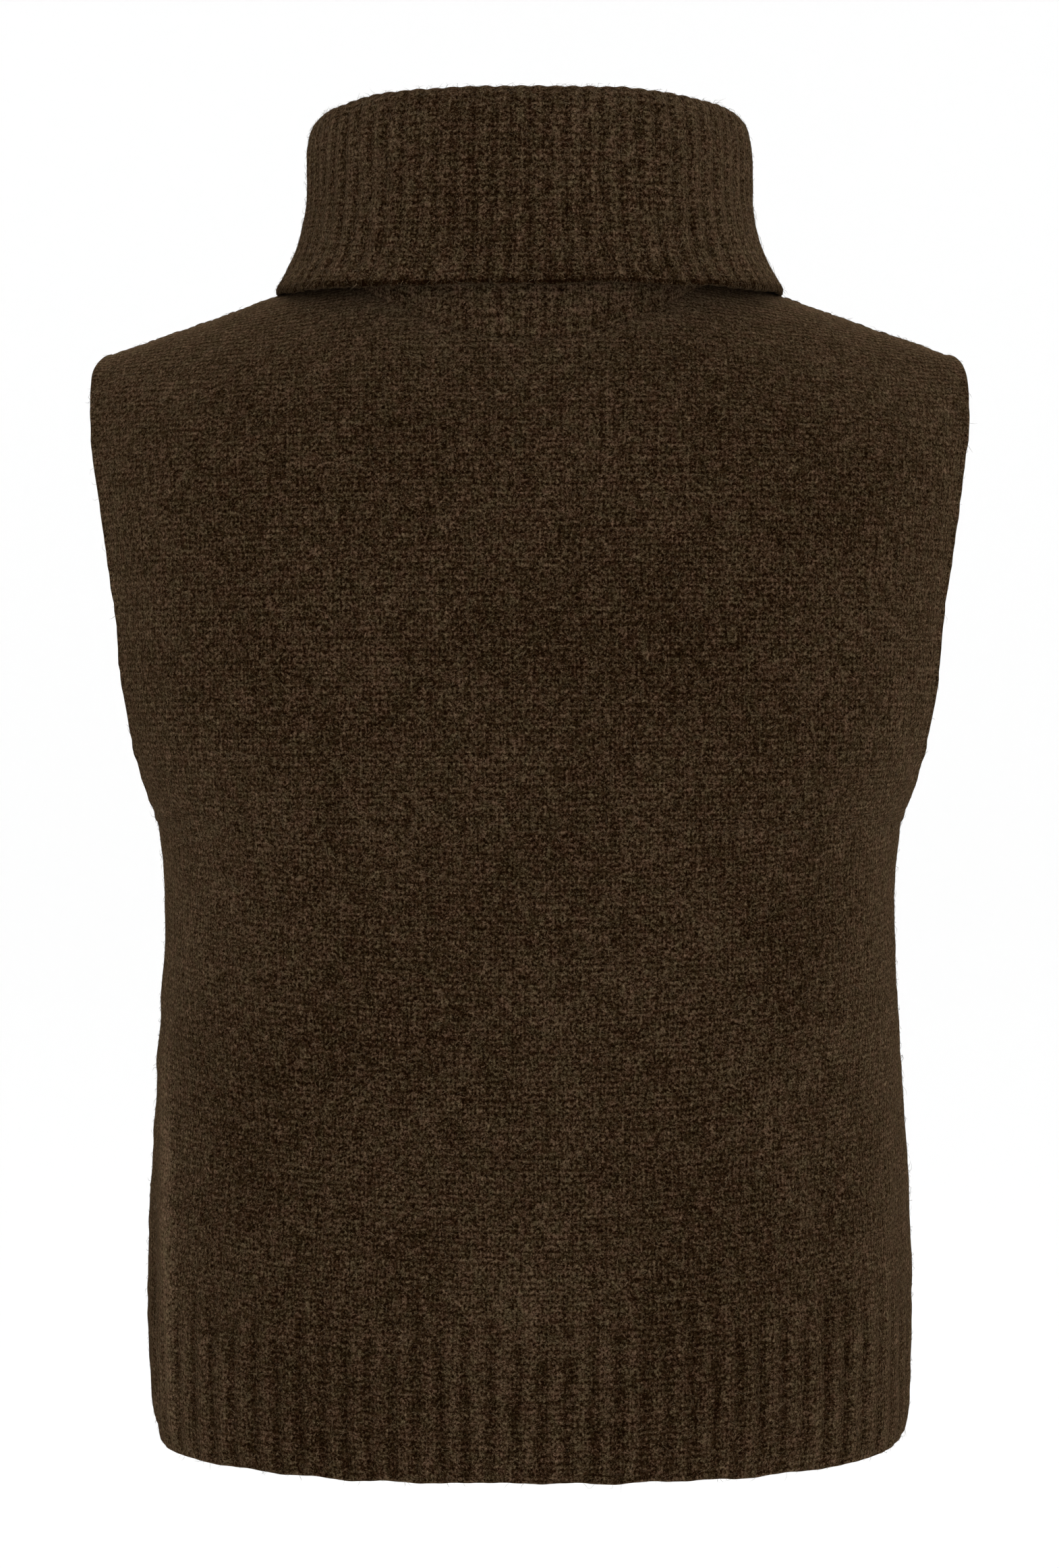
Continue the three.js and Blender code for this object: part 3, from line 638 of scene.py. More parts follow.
def new_node(tree, kind, **values):
    """A shader node with its properties set, and its inputs where the name is one of them."""
    made = tree.nodes.new(kind)
    for name, value in values.items():
        if hasattr(made, name):
            setattr(made, name, value)
        else:
            made.inputs[name.replace("_", " ")].default_value = value
    return made


# The knit itself, shared by the panels and the collar: columns of V-shaped stitches counted by the UV map,
# under a brushed nap of fine curled fibres in several browns, with painted shade in the gaps between them.
knit = bpy.data.node_groups.new("brushed_knit", "ShaderNodeTree")
for socket_name, socket_kind in (
    ("Stitches", "NodeSocketVector"),
    ("Place", "NodeSocketVector"),
    ("Tone And Painted Light", "NodeSocketFloat"),
    ("Yarn", "NodeSocketColor"),
    ("Light Fibre", "NodeSocketColor"),
    ("Gap Shade", "NodeSocketColor"),
    ("Purl", "NodeSocketFloat"),
):
    knit.interface.new_socket(name=socket_name, in_out="INPUT", socket_type=socket_kind)
knit.interface.new_socket(name="Color", in_out="OUTPUT", socket_type="NodeSocketColor")
knit.interface.new_socket(name="Height", in_out="OUTPUT", socket_type="NodeSocketFloat")
given = knit.nodes.new("NodeGroupInput")
result = knit.nodes.new("NodeGroupOutput")
STITCH_WANDER = (0.55, 0.9, 0)
COURSE_SLANT = 0.62
LEG_SHARE = 0.6
PURL_BOW = 0.22
PURL_STRENGTH = 1.5

# How much each part of the knit lightens the wool
STITCH_WEIGHT = 0.125
LIGHT_LINES_WEIGHT = 0.52
DARK_LINES_WEIGHT = -0.6
GRAIN_WEIGHT = 1.3
HEATHER_WEIGHT = 0.2
BROAD_WEIGHT = 0.24
WALE_STREAKS_WEIGHT = 0.42
COURSE_STREAKS_WEIGHT = 0.2
# The attribute lays the cloth's tone and its painted light and shade on the wool
TONE_AND_PAINTED_LIGHT_WEIGHT = 0.3
ADDED_LIGHTNESS = 0.05


def calculate(operation, first, second=None, clamp=False):
    """A math node's output, with sockets or numbers as its inputs."""
    made = knit.nodes.new("ShaderNodeMath")
    made.operation = operation
    made.use_clamp = clamp
    for socket, value in zip(made.inputs, (first, second)):
        if value is None:
            continue
        if isinstance(value, (int, float)):
            socket.default_value = value
        else:
            knit.links.new(value, socket)
    return made.outputs[0]


def blend_colours(share, first, second, mode="MIX"):
    """A colour mix node's output, with sockets or a number as its inputs."""
    made = new_node(knit, "ShaderNodeMix", data_type="RGBA", blend_type=mode)
    for socket, value in zip((made.inputs[0], made.inputs[6], made.inputs[7]), (share, first, second)):
        if isinstance(value, (int, float)):
            socket.default_value = value
        else:
            knit.links.new(value, socket)
    return made.outputs[2]


def noise(place, scale, detail=2.0, distortion=0.0, roughness=0.55):
    """A noise node of the knit."""
    made = new_node(knit, "ShaderNodeTexNoise", Scale=scale, Detail=detail, Distortion=distortion)
    made.inputs["Roughness"].default_value = roughness
    knit.links.new(place, made.inputs["Vector"])
    return made


def calculate_vector(operation, first, second):
    """A vector math node's output. Its first input is a socket, and its second a socket or three numbers."""
    made = new_node(knit, "ShaderNodeVectorMath", operation=operation)
    knit.links.new(first, made.inputs[0])
    if isinstance(second, tuple):
        made.inputs[1].default_value = second
    else:
        knit.links.new(second, made.inputs[1])
    return made.outputs[0]


# Each stitch wanders a little from its place
place = given.outputs["Place"]
wander = calculate_vector("SUBTRACT", noise(place, 230, 1.0).outputs["Color"], (0.5, 0.5, 0.5))
wander = calculate_vector("MULTIPLY", wander, STITCH_WANDER)
moved = calculate_vector("ADD", given.outputs["Stitches"], wander)
parts = knit.nodes.new("ShaderNodeSeparateXYZ")
knit.links.new(moved, parts.inputs[0])

# The two legs of a stitch lean out from the middle of its column, and each course has a dark line of painted
# shade below it
from_middle = calculate("FRACT", calculate("ADD", parts.outputs[0], 0.5))
from_middle = calculate("ABSOLUTE", calculate("SUBTRACT", from_middle, 0.5))
leg = calculate("COSINE", calculate("MULTIPLY", from_middle, 2 * math.tau))
rise = calculate("ADD", parts.outputs[1], calculate("MULTIPLY", from_middle, COURSE_SLANT))
course = calculate("COSINE", calculate("MULTIPLY", rise, math.tau))
plain_stitch = calculate("SUBTRACT", course, calculate("MULTIPLY", leg, LEG_SHARE))

# The back of a stitch is a low bow across its column
bow = calculate("SINE", calculate("MULTIPLY", parts.outputs[0], math.tau))
bow = calculate("ADD", parts.outputs[1], calculate("MULTIPLY", bow, PURL_BOW))
purl_wave = calculate("SINE", calculate("MULTIPLY", bow, math.tau))
purl_stitch = calculate("MULTIPLY", purl_wave, PURL_STRENGTH)
face = new_node(knit, "ShaderNodeMix", data_type="FLOAT")
for index, socket in ((0, given.outputs["Purl"]), (2, plain_stitch), (3, purl_stitch)):
    knit.links.new(socket, face.inputs[index])
stitch = face.outputs[0]


def ranged(value, low, high, new_low, new_high):
    """A value brought softly from one range to another."""
    made = new_node(knit, "ShaderNodeMapRange", interpolation_type="SMOOTHSTEP")
    for index, number in enumerate((low, high, new_low, new_high), 1):
        made.inputs[index].default_value = number
    knit.links.new(value, made.inputs[0])
    return made.outputs[0]


def curled(scale, width, distortion, shown):
    """Short curled lines: where a noise crosses its middle value, and another one lets them show."""
    field = noise(place, scale, 1.0, distortion).outputs["Fac"]
    off = calculate("ABSOLUTE", calculate("SUBTRACT", field, 0.5))
    line = ranged(off, 0.0, width, 1.0, 0.0)
    cut = noise(place, scale * 0.8, 0.0).outputs["Fac"]
    return calculate("MULTIPLY", line, ranged(cut, shown, shown + 0.08, 0.0, 1.0))


def weighted(*terms):
    """The sum of values, each times its weight."""
    total = None
    for value, weight in terms:
        part = calculate("MULTIPLY", value, weight)
        total = part if total is None else calculate("ADD", total, part)
    return total


light_lines = calculate("MAXIMUM", curled(500, 0.06, 0.8, 0.5), curled(760, 0.07, 0.6, 0.48))
# The dark curled lines are painted shade in the gaps between the fibres
dark_lines = calculate("MAXIMUM", curled(680, 0.08, 0.5, 0.45), curled(960, 0.09, 0.4, 0.45))
grain = noise(place, 1040, 1.0, 0.2, 0.5).outputs["Fac"]
heather = noise(place, 75, 2.0, 0.3, 0.6).outputs["Fac"]


def streaks(along_wale, along_course, scale):
    """A noise drawn out along the wales or the courses, as the yarn's thick and thin places are."""
    stretched = calculate_vector("MULTIPLY", moved, (along_wale, along_course, 0))
    return noise(stretched, scale, 1.0).outputs["Fac"]


wale_streaks = streaks(1.0, 0.14, 1.3)
course_streaks = streaks(0.1, 1.0, 1.3)
broad = noise(place, 13, 2.0).outputs["Fac"]
lightness = weighted(
    (stitch, STITCH_WEIGHT),
    (light_lines, LIGHT_LINES_WEIGHT),
    (dark_lines, DARK_LINES_WEIGHT),
    (grain, GRAIN_WEIGHT),
    (heather, HEATHER_WEIGHT),
    (broad, BROAD_WEIGHT),
    (given.outputs["Tone And Painted Light"], TONE_AND_PAINTED_LIGHT_WEIGHT),
    (wale_streaks, WALE_STREAKS_WEIGHT),
    (course_streaks, COURSE_STREAKS_WEIGHT),
)

# Each noise is a half on average, and the attribute of tone and painted light and shade is a panel's tone.
# The sum is moved so that these averages leave the yarn's own brown, which lies at a half, and a little more.
noise_weights = GRAIN_WEIGHT + HEATHER_WEIGHT + BROAD_WEIGHT + WALE_STREAKS_WEIGHT + COURSE_STREAKS_WEIGHT
levelling = 0.5 - noise_weights / 2 - TONE_AND_PAINTED_LIGHT_WEIGHT * PANEL_TONE + ADDED_LIGHTNESS
lightness = calculate("ADD", lightness, levelling)
above_gap = calculate("MULTIPLY", lightness, 2.0, clamp=True)
above_yarn = calculate("MULTIPLY", calculate("SUBTRACT", lightness, 0.5), 1.1, clamp=True)
colour = blend_colours(above_gap, given.outputs["Gap Shade"], given.outputs["Yarn"])
colour = blend_colours(above_yarn, colour, given.outputs["Light Fibre"])

# The wool is spun from brown and reddish fleece, so its hue drifts
HUE_TINTS = ((0.93, 1.02, 0.96), (1.07, 0.98, 1.04))
NOISE_SPAN = (0.36, 0.64)
hue = noise(place, 150, 3.0, 0.4, 0.7).outputs["Fac"]
tint = two_tones(knit, hue, HUE_TINTS, NOISE_SPAN)
colour = blend_colours(1.0, colour, tint, "MULTIPLY")
knit.links.new(colour, result.inputs["Color"])
height = weighted((stitch, 0.22), (light_lines, 0.35), (dark_lines, -0.3), (grain, 0.9))
knit.links.new(height, result.inputs["Height"])


YARN_BROWN = (0.0228, 0.0123, 0.0056)
FIBRE_TAN = (0.125, 0.0838, 0.0485)
# The gap colour is painted shade, the darkest the knit gets between its stitches and fibres
GAP_SHADE_BROWN = (0.0050, 0.0019, 0.0005)
SHEEN = 0.2
SHEEN_ROUGHNESS = 0.17
SHEEN_TAN = (0.6, 0.41, 0.23)
BUMP_STRENGTH = 0.75
BUMP_DISTANCE = 0.0011


def wool(name, purl=0.0):
    """Brushed wool knit in several browns. purl is 0 on the face of the stitches and 1 on their back."""
    material = bpy.data.materials.new(name)
    material.use_nodes = True
    tree = material.node_tree
    shader = tree.nodes["Principled BSDF"]
    shader.inputs["Roughness"].default_value = 0.95
    shader.inputs["Specular IOR Level"].default_value = 0.0
    shader.inputs["Sheen Weight"].default_value = SHEEN
    shader.inputs["Sheen Roughness"].default_value = SHEEN_ROUGHNESS
    shader.inputs["Sheen Tint"].default_value = (*SHEEN_TAN, 1)
    cloth = new_node(tree, "ShaderNodeGroup", node_tree=knit)
    for socket, value in (("Yarn", YARN_BROWN), ("Light Fibre", FIBRE_TAN), ("Gap Shade", GAP_SHADE_BROWN)):
        cloth.inputs[socket].default_value = (*value, 1)
    cloth.inputs["Purl"].default_value = purl
    counted = new_node(tree, "ShaderNodeUVMap", uv_map="stitches")
    placed = tree.nodes.new("ShaderNodeTexCoord")
    # This attribute holds the cloth's tone and its painted light and shade
    crest = new_node(tree, "ShaderNodeAttribute", attribute_name="painted_light_and_tone")
    bump = new_node(tree, "ShaderNodeBump", Strength=BUMP_STRENGTH, Distance=BUMP_DISTANCE)
    tree.links.new(counted.outputs[0], cloth.inputs["Stitches"])
    tree.links.new(placed.outputs["Object"], cloth.inputs["Place"])
    tree.links.new(crest.outputs["Fac"], cloth.inputs["Tone And Painted Light"])
    tree.links.new(cloth.outputs["Color"], shader.inputs["Base Color"])
    tree.links.new(cloth.outputs["Height"], bump.inputs["Height"])
    tree.links.new(bump.outputs[0], shader.inputs["Normal"])
    return material


wool_jersey = wool("wool_jersey")
wool_inside = wool("wool_inside", 1.0)

# The loose fibres, in mm and degrees
NAP_LENGTH = (1.2, 6.5)
NAP_SHORTNESS = 2.2
NAP_RADIUS = (0.045, 0.09)
NAP_TAPER = 0.85
NAP_ROOT_DEPTH = 0.25
NAP_LIFT = (4, 34)
NAP_CURL = (-75, 75)
NAP_FALL = (-0.6, 0.5)
FIBRE_TONES = ((0.016, 0.009, 0.004), (0.150, 0.108, 0.064))

# The faces of one fibre, between three corners at its root, three at its bend and one at its tip
FIBRE_CORNERS = 7
FIBRE_FACES = np.array([
    (0, 2, 1), (0, 1, 4), (0, 4, 3), (1, 2, 5), (1, 5, 4), (2, 0, 3), (2, 3, 5), (3, 4, 6), (4, 5, 6),
    (5, 3, 6),
])

loose_fibre = bpy.data.materials.new("loose_fibre")
loose_fibre.use_nodes = True
fibre_tree = loose_fibre.node_tree
fibre_shader = fibre_tree.nodes["Principled BSDF"]
fibre_shader.inputs["Roughness"].default_value = 0.8
fibre_shader.inputs["Specular IOR Level"].default_value = 0.1
fibre_place = fibre_tree.nodes.new("ShaderNodeTexCoord")
fibre_noise = new_node(fibre_tree, "ShaderNodeTexNoise", Scale=180.0, Detail=1.0)
fibre_tree.links.new(fibre_place.outputs["Object"], fibre_noise.inputs["Vector"])
fibre_colour = two_tones(fibre_tree, fibre_noise.outputs["Fac"], FIBRE_TONES, NOISE_SPAN)
fibre_tree.links.new(fibre_colour, fibre_shader.inputs["Base Color"])


def nap(name, face, normals, count, seed):
    """Short loose fibres that stand in a cloth's brushed face: curled, tapered and closed."""
    draw = np.random.default_rng(seed)
    rows, columns = face.shape[:2]
    row, column = draw.uniform(1, rows - 2, count), draw.uniform(0, columns - 1.001, count)
    i, j = row.astype(int), column.astype(int)
    s, t = (row - i)[:, None], (column - j)[:, None]

    def between(grid):
        top = grid[i, j] * (1 - t) + grid[i, j + 1] * t
        return top * (1 - s) + (grid[i + 1, j] * (1 - t) + grid[i + 1, j + 1] * t) * s

    root, up = between(face), between(normals)
    up = up / np.linalg.norm(up, axis=1, keepdims=True)
    way = np.cross(up, draw.normal(size=(count, 3)))
    way = way / np.linalg.norm(way, axis=1, keepdims=True)
    across = np.cross(up, way)
    shortest, longest = NAP_LENGTH
    length = (shortest + (longest - shortest) * draw.uniform(0, 1, count) ** NAP_SHORTNESS)[:, None]
    lift = np.radians(draw.uniform(*NAP_LIFT, count))[:, None]
    curl = np.radians(draw.uniform(*NAP_CURL, count))[:, None]
    fall = lift * draw.uniform(*NAP_FALL, count)[:, None]
    first = root - up * NAP_ROOT_DEPTH
    second = first + length * 0.5 * (way * np.cos(lift) + up * np.sin(lift))
    bent = way * np.cos(curl) + across * np.sin(curl)
    third = second + length * 0.5 * (bent * np.cos(fall) + up * np.sin(fall))
    thick = draw.uniform(*NAP_RADIUS, count)[:, None]
    points = []
    for centre, radius in ((first, thick), (second, thick * NAP_TAPER)):
        for k in range(3):
            angle = math.tau * k / 3
            points.append(centre + radius * (across * math.cos(angle) + up * math.sin(angle)))
    points = np.stack([*points, third], axis=1).reshape(-1, 3)
    faces = (FIBRE_FACES[None] + FIBRE_CORNERS * np.arange(count)[:, None, None]).reshape(-1, 3)
    fibres = mesh_object(name, points, faces.tolist())
    fibres.data.materials.append(loose_fibre)
    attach(fibres, "root")
    return fibres


back, back_face, back_normals = panel_cloth(BACK, "back_knit")
back.data.materials.append(wool_jersey)
back.data.materials.append(wool_inside)
back_nap = nap("back_nap", back_face, back_normals, 18000, 31)
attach(back, "root")
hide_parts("back")

# Front: the other panel of brushed wool jersey, shaped as the back is, with a lower neck and a ribbed hem of
# its own. It is linked to the back along the shoulders and the sides.
front, front_face, front_normals = panel_cloth(FRONT, "front_knit")
front.data.materials.append(wool_jersey)
front.data.materials.append(wool_inside)
front_nap = nap("front_nap", front_face, front_normals, 12500, 32)
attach(front, "root")
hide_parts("front")

# Collar: one 1x1 ribbed tube, knitted apart and linked to the neck. It stands up and folds over once, so
# the inside of the stand and the outside of the turnover are one face.
COLLAR_RIB_RAISE = 0.85
COLLAR_RIBS = 76
COLUMNS_PER_RIB = 10
ROWS_PER_RING = 6
RIBBED_BOTH_SIDES = 2
COLLAR_COLUMNS = ("half_width", "back_y", "front_y", "side_z", "back_z", "front_z", "tip", "corner_drop")
COLLAR_RINGS = [
    (86.5, -81, 77, 15, -17, -38, 2, 0),
    (87.5, -79, 79, 33, 15, -4, 5, 0),
    (89.5, -78, 82, 53, 52, 34, 9, 0),
    (92.0, -80, 85, 63, 66.5, 48, 9, 0),
    (95.5, -84, 88.5, 67, 71.8, 53, 9, 0),
    (99.0, -88, 92, 62.5, 66.5, 48, 9, 0),
    (100.8, -90, 95, 50, 53, 35, 8, 0),
    (101.0, -91, 97.5, 31, 28, 10, 6, 0),
    (103.8, -92.5, 99.5, 15.5, 5, -14, 4, 3),
    (109.0, -92.8, 100.5, 3, -6, -28, 2, 9),
    (116.4, -92.5, 100.5, -8.2, -15, -38, 0, 19),
]
TURNOVER = 7
FOLD_RING = 5.0
FOLD_REACH = 0.7
FOLD_RIB_LOSS = 0.4
RIB_PITCH = 8.0
RIB_ROUNDNESS = 0.8
COLLAR_RIB_DRAWN_OUT = 0.4
EDGE_SHARE = 0.35
EDGE_ROUNDING = 4.0
EDGE_SCALLOP = 0.5
EDGE_UNEVEN_HEIGHT = 12
COLLAR_INNER_STRIDE = 2
INNER_RIB_SHARE = 0.8
INNER_EDGE_SHARE = 0.3
INNER_EDGE_HEIGHT = 8
NECKLINE_ROUNDNESS = 1.5
NECKLINE_STEPS = 200

# Tones: the stand is lightened by painted light, most of all where the turnover keeps the light from it, and
# the lower edge of the turnover is a dark line of painted shadow
COLLAR_GAP_TONE = 0.42
COLLAR_RIB_PAINTED_LIGHT = 0.64
STAND_TONE = 0.34
STAND_RIB_LOSS = 0.06
STAND_END_RING = 3.5
SHADED_TONE = 0.8
SHADED_RING = 1.6
SHADED_REACH = 0.6
EDGE_SHADOW_DEPTH = 2.1
EDGE_SHADOW_HEIGHT = 2.7

# Random unevenness, as for the panels
RIB_SWAY = (0.05, 70, 21)
COLLAR_RIB_HEIGHTS = (0.24, 26, 22)
COLLAR_BROAD_WAVES = (0.25, 38, 23)
COLLAR_SMALL_WAVES = (0.14, 11, 24)
EDGE_WAVES = (0.8, 30, 25)
FOLD_WAVES = (0.5, 40, 26)
EDGE_SHADOW_WAVES = (0.7, 45, 27)


def collar_places(count):
    """Places round the collar, evenly along its turnover: panel, hand, turn and share of the way round."""
    ring = dict(zip(COLLAR_COLUMNS, COLLAR_RINGS[TURNOVER]))
    along = np.arange(count) / count
    quarter = np.floor(4 * along).astype(int)
    within = 4 * along - quarter
    panel = np.where(quarter < 2, FRONT, BACK)
    hand = np.where((quarter == 0) | (quarter == 3), 1, -1)
    share = np.where(quarter % 2 == 0, 1 - within, within)
    depth = np.where(panel == BACK, -ring["back_y"], ring["front_y"])
    turn = turn_at_share(share, np.full(count, ring["half_width"]), depth, COLLAR_SQUARENESS, np.zeros(count))
    return panel, hand, turn, along


def collar_ring(ring, panel, hand, turn):
    """A ring of the collar's middle surface."""
    values = dict(zip(COLLAR_COLUMNS, ring))
    side, middle = quarter_ring(turn, COLLAR_SQUARENESS)
    middle_y = np.where(panel == BACK, values["back_y"], values["front_y"])
    middle_z = np.where(panel == BACK, values["back_z"], values["front_z"])
    tipping = -panel * values["tip"] * middle * (1 - middle) ** 2
    tipping = tipping - values["corner_drop"] * middle * (1 - middle) ** 2
    z = values["side_z"] + tipping + (middle_z - values["side_z"]) * smooth(middle**NECKLINE_ROUNDNESS)
    return np.stack([hand * values["half_width"] * side, middle_y * middle, z], axis=1)


def neckline_ring(panel, hand, turn):
    """The neck seam at the collar's places, from the panels' own necklines."""
    side, middle = quarter_ring(turn, COLLAR_SQUARENESS)
    heights = np.zeros_like(turn)
    for one in (BACK, FRONT):
        across = NECK_SHARE * np.sin(np.linspace(0, 1, NECKLINE_STEPS) * math.pi / 2)
        edge = panel_row(one, across, -1.0)
        turns = np.arccos(np.minimum(edge[:, 0] / NECK_POINT_X, 1) ** (COLLAR_SQUARENESS / 2)) / (math.pi / 2)
        heights = np.where(panel == one, np.interp(turn, turns[::-1], edge[::-1, 2]), heights)
    depth = np.where(panel == BACK, -NECK_DEPTH[BACK], NECK_DEPTH[FRONT])
    return np.stack([hand * NECK_POINT_X * side, depth * middle, heights], axis=1)


def smooth_rows(rings, steps):
    """Rows on smooth curves through the rings, with their places along the rings."""
    count = len(rings)
    rows, places = [], []
    for k in range(count - 1):
        before, after = rings[max(k - 1, 0)], rings[min(k + 2, count - 1)]
        a, b = rings[k], rings[k + 1]
        for i in range(steps):
            t = i / steps
            row = a * (2 * t**3 - 3 * t**2 + 1) + b * (3 * t**2 - 2 * t**3)
            row = row + (b - before) / 2 * (t**3 - 2 * t**2 + t) + (after - a) / 2 * (t**3 - t**2)
            rows.append(row)
            places.append(k + t)
    return np.array(rows + [rings[-1]]), np.array(places + [count - 1.0])


def collar_cloth():
    """The collar as a closed wall, ribbed on its face, and at the foot of the stand on both sides."""
    count = COLLAR_RIBS * COLUMNS_PER_RIB
    panel, hand, turn, along = collar_places(count)
    rings = [neckline_ring(panel, hand, turn)]
    rings += [collar_ring(ring, panel, hand, turn) for ring in COLLAR_RINGS]
    leaving = rings[1] - rings[0]
    rings[0] = rings[0] + leaving / np.linalg.norm(leaving, axis=1, keepdims=True) * SEAM_GAP / 2
    middle, places = smooth_rows(rings, ROWS_PER_RING)
    padded = np.concatenate([middle[:, -1:], middle, middle[:, :1]], axis=1)
    normals = surface_normals(padded)[:, 1:-1]
    stand_row = ROWS_PER_RING * 2
    inward = (normals[stand_row] * middle[stand_row])[:, :2].sum()
    normals = normals * (-1 if inward > 0 else 1)
    steps = np.linalg.norm(np.diff(middle, axis=0), axis=2).mean(axis=1)
    run = np.concatenate([[0], np.cumsum(steps)])
    run_grid = np.repeat(run[:, None], count, axis=1)
    wale = np.repeat((along * COLLAR_RIBS)[None, :], len(run), axis=0)
    girth = wale * RIB_PITCH
    wave = 0.5 - 0.5 * np.cos(math.tau * (wale + unevenness(RIB_SWAY, girth, run_grid)))
    at_fold = np.exp(-(((places - FOLD_RING) / FOLD_REACH) ** 2))[:, None]
    rib_height = COLLAR_RIB_RAISE * (1 - FOLD_RIB_LOSS * at_fold)
    rib_height = rib_height * (1 + unevenness(COLLAR_RIB_HEIGHTS, girth, run_grid * COLLAR_RIB_DRAWN_OUT))
    raised = rib_height * wave**RIB_ROUNDNESS
    raised = raised + unevenness(COLLAR_BROAD_WAVES, girth, run_grid)
    raised = raised + unevenness(COLLAR_SMALL_WAVES, girth, run_grid)

    # The lower edge of the turnover is rounded and uneven, and the fold wavers a little
    from_end = run[-1] - run_grid
    rounding = np.sqrt(1 - (1 - np.clip(from_end / EDGE_ROUNDING, 0, 1)) ** 2)
    round_edge = EDGE_SHARE + (1 - EDGE_SHARE) * rounding
    uneven = unevenness(EDGE_WAVES, girth, run_grid * 0) + EDGE_SCALLOP * (wave - 0.5)
    middle[:, :, 2] -= uneven * smooth(1 - from_end / EDGE_UNEVEN_HEIGHT)
    middle[:, :, 2] += at_fold * unevenness(FOLD_WAVES, girth, run_grid * 0)
    outer = middle + normals * ((WALL / 2 + raised) * round_edge)[:, :, None]

    # The other face is coarser, and ribbed only at the foot of the stand, which shows below the turnover
    inner_rows = sorted({*range(0, len(run), COLLAR_INNER_STRIDE), len(run) - 1})

    def coarser(grid):
        return grid[inner_rows][:, ::COLLAR_INNER_STRIDE]

    both = (places[inner_rows] <= RIBBED_BOTH_SIDES).astype(float)[:, None]
    inner_raise = both * coarser(raised) * INNER_RIB_SHARE
    thin_edge = INNER_EDGE_SHARE + (1 - INNER_EDGE_SHARE) * smooth(coarser(from_end) / INNER_EDGE_HEIGHT)
    inner = coarser(middle) - coarser(normals) * ((WALL / 2 + inner_raise) * thin_edge)[:, :, None]
    stitches = np.stack([wale * 2, run_grid / COURSE], axis=2)
    on_stand = smooth(STAND_END_RING - places)[:, None]
    # Painted shade in the gaps of the ribs and painted light on their crests; on the stand, painted light
    # makes up for the shade under the turnover
    painted_light_and_tone = COLLAR_GAP_TONE + COLLAR_RIB_PAINTED_LIGHT * wave + on_stand * (STAND_TONE - STAND_RIB_LOSS * wave)
    shaded = np.exp(-(((places - SHADED_RING) / SHADED_REACH) ** 2))[:, None]
    # A painted shadow: a dark, uneven line along the lower edge of the turnover
    edge_shadow_depth = EDGE_SHADOW_DEPTH + unevenness(EDGE_SHADOW_WAVES, girth, run_grid * 0)
    painted_light_and_tone = painted_light_and_tone + SHADED_TONE * shaded - np.exp(-((from_end / EDGE_SHADOW_HEIGHT) ** 2)) * edge_shadow_depth
    cloth = cloth_object(
        "collar_knit", outer, inner, True,
        np.concatenate([stitches.reshape(-1, 2), coarser(stitches).reshape(-1, 2)]),
        np.concatenate([painted_light_and_tone.ravel(), coarser(painted_light_and_tone).ravel()]),
    )
    return cloth, outer, normals


wool_rib = wool("wool_rib")
collar, collar_face, collar_normals = collar_cloth()
collar.data.materials.append(wool_rib)
collar.data.materials.append(wool_rib)
turned = ROWS_PER_RING * 3
collar_nap = nap("collar_nap", collar_face[turned:], collar_normals[turned:], 13500, 33)
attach(collar, "root")
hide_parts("collar")

# Seams: the pieces are linked loop by loop with their own yarn. The shoulder seams stand up as a low ridge,
# the side seams and the neck seam lie nearly flush.
LINK_PITCH = 3.7
SIDE_PITCH = 2.4
NECK_LINK_COUNT = 134
LINK_DEPTH = 0.45
NECK_LINK_OUT = 1.2
LINK_UV_STEP = 0.25
BALL_SIDES = 8
BALL_RINGS = 6
LINK_SEED = 41
SLANT_SPREAD = 7
RISE_SPREAD = 0.16
LINK_GROWTH = (0.86, 1.25)

# The links of each seam: half sizes along, across and up, slant in degrees, and tone. The shoulder links'
# light tone is the painted highlight along the tops of the shoulders.
SHOULDER_LINKS = ((2.5, 1.6, 0.8), 28, 1.6)
SIDE_LINKS = ((1.75, 1.15, 0.75), 9, 0.7)
NECK_LINKS = ((2.1, 1.0, 0.8), 20, 0.6)


def ball():
    """The corners and faces of a ball of radius 1. Its faces look inwards, because the three ways of a link
    mirror the ball, which turns them outwards."""
    corners = [(0.0, 0.0, 1.0)]
    for ring in range(1, BALL_RINGS):
        tilt = math.pi * ring / BALL_RINGS
        for k in range(BALL_SIDES):
            turn = math.tau * k / BALL_SIDES
            corners.append((math.sin(tilt) * math.cos(turn), math.sin(tilt) * math.sin(turn), math.cos(tilt)))
    last = len(corners)
    corners.append((0.0, 0.0, -1.0))
    faces = []
    for k in range(BALL_SIDES):
        after = (k + 1) % BALL_SIDES
        faces.append((0, 1 + after, 1 + k))
        for upper in range(1, last - BALL_SIDES, BALL_SIDES):
            lower = upper + BALL_SIDES
            faces.append((upper + k, upper + after, lower + after, lower + k))
        faces.append((last - BALL_SIDES + k, last - BALL_SIDES + after, last))
    return np.array(corners), faces


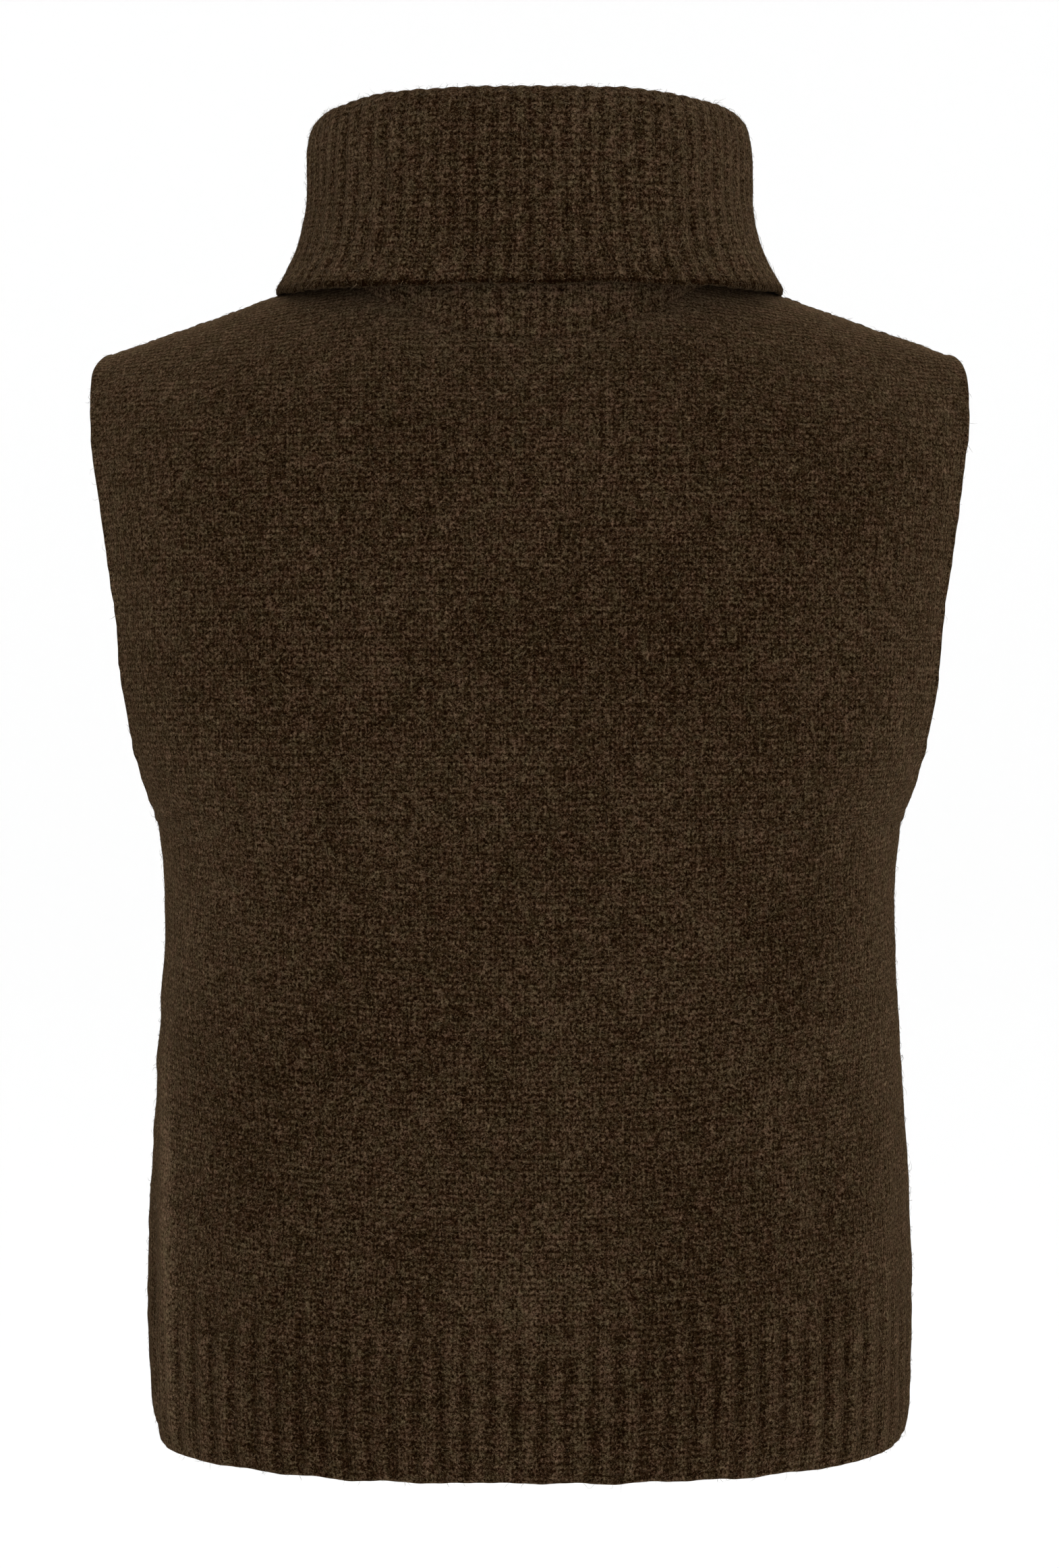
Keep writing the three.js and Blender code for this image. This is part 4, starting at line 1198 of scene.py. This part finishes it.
def seam_links(name, path, ups, size, slant, painted_light_and_tone):
    """A row of linking stitches, one closed loop of yarn at each place of a path."""
    shape, pattern = ball()
    along = np.gradient(path, axis=0)
    along /= np.linalg.norm(along, axis=1, keepdims=True)
    ups = ups - along * (ups * along).sum(axis=1, keepdims=True)
    ups /= np.linalg.norm(ups, axis=1, keepdims=True)
    out = np.cross(along, ups)
    draw = np.random.default_rng(LINK_SEED)
    points, faces = [], []
    for place, a, u, o in zip(path, along, ups, out):
        angle = math.radians(slant + draw.normal(0, SLANT_SPREAD))
        long_way = a * math.cos(angle) + o * math.sin(angle)
        wide_way = o * math.cos(angle) - a * math.sin(angle)
        grown = np.array(size) * draw.uniform(*LINK_GROWTH, 3)
        ways = np.stack([long_way * grown[0], wide_way * grown[1], u * grown[2]])
        start = len(points) * len(shape)
        points.append(place + u * draw.normal(0, RISE_SPREAD) + shape @ ways)
        faces += [tuple(start + k for k in face) for face in pattern]
    links = mesh_object(name, np.concatenate(points), faces)
    mesh = links.data
    turns = np.array([[i % 8, i // 8] for i in range(len(mesh.loops))], np.float32) * LINK_UV_STEP
    set_knit(mesh, turns, np.full(len(mesh.vertices), painted_light_and_tone))
    links.data.materials.append(wool_jersey)
    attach(links, "root")
    return links


for hand, label in ((1, "right"), (-1, "left")):
    xs = np.arange(NECK_POINT_X + 4, SHOULDER_TIP_X - 1, LINK_PITCH)
    path = np.stack([hand * xs, np.zeros_like(xs), shoulder_line(xs) + WALL / 2 - LINK_DEPTH], axis=1)
    seam_links(f"{label}_shoulder_seam", path, np.tile([0.0, 0, 1], (len(xs), 1)), *SHOULDER_LINKS)
    edge = back_face[:, -1 if hand > 0 else 0]
    zs = np.arange(UNDERARM_Z - 1, edge[-1, 2] + 1.4, -SIDE_PITCH)
    xs = np.interp(-zs, -edge[ARCH_ROWS:, 2], edge[ARCH_ROWS:, 0])
    path = np.stack([xs - hand * LINK_DEPTH, np.zeros_like(zs), zs], axis=1)
    seam_links(f"{label}_side_seam", path, np.tile([float(hand), 0, 0], (len(zs), 1)), *SIDE_LINKS)
neck_panel, neck_hand, neck_turn, _ = collar_places(NECK_LINK_COUNT)
neck_path = neckline_ring(neck_panel, neck_hand, neck_turn)
radial = neck_path * (1, 1, 0)
radial /= np.linalg.norm(radial, axis=1, keepdims=True)
seam_links("neck_seam", neck_path + radial * NECK_LINK_OUT, radial, *NECK_LINKS)
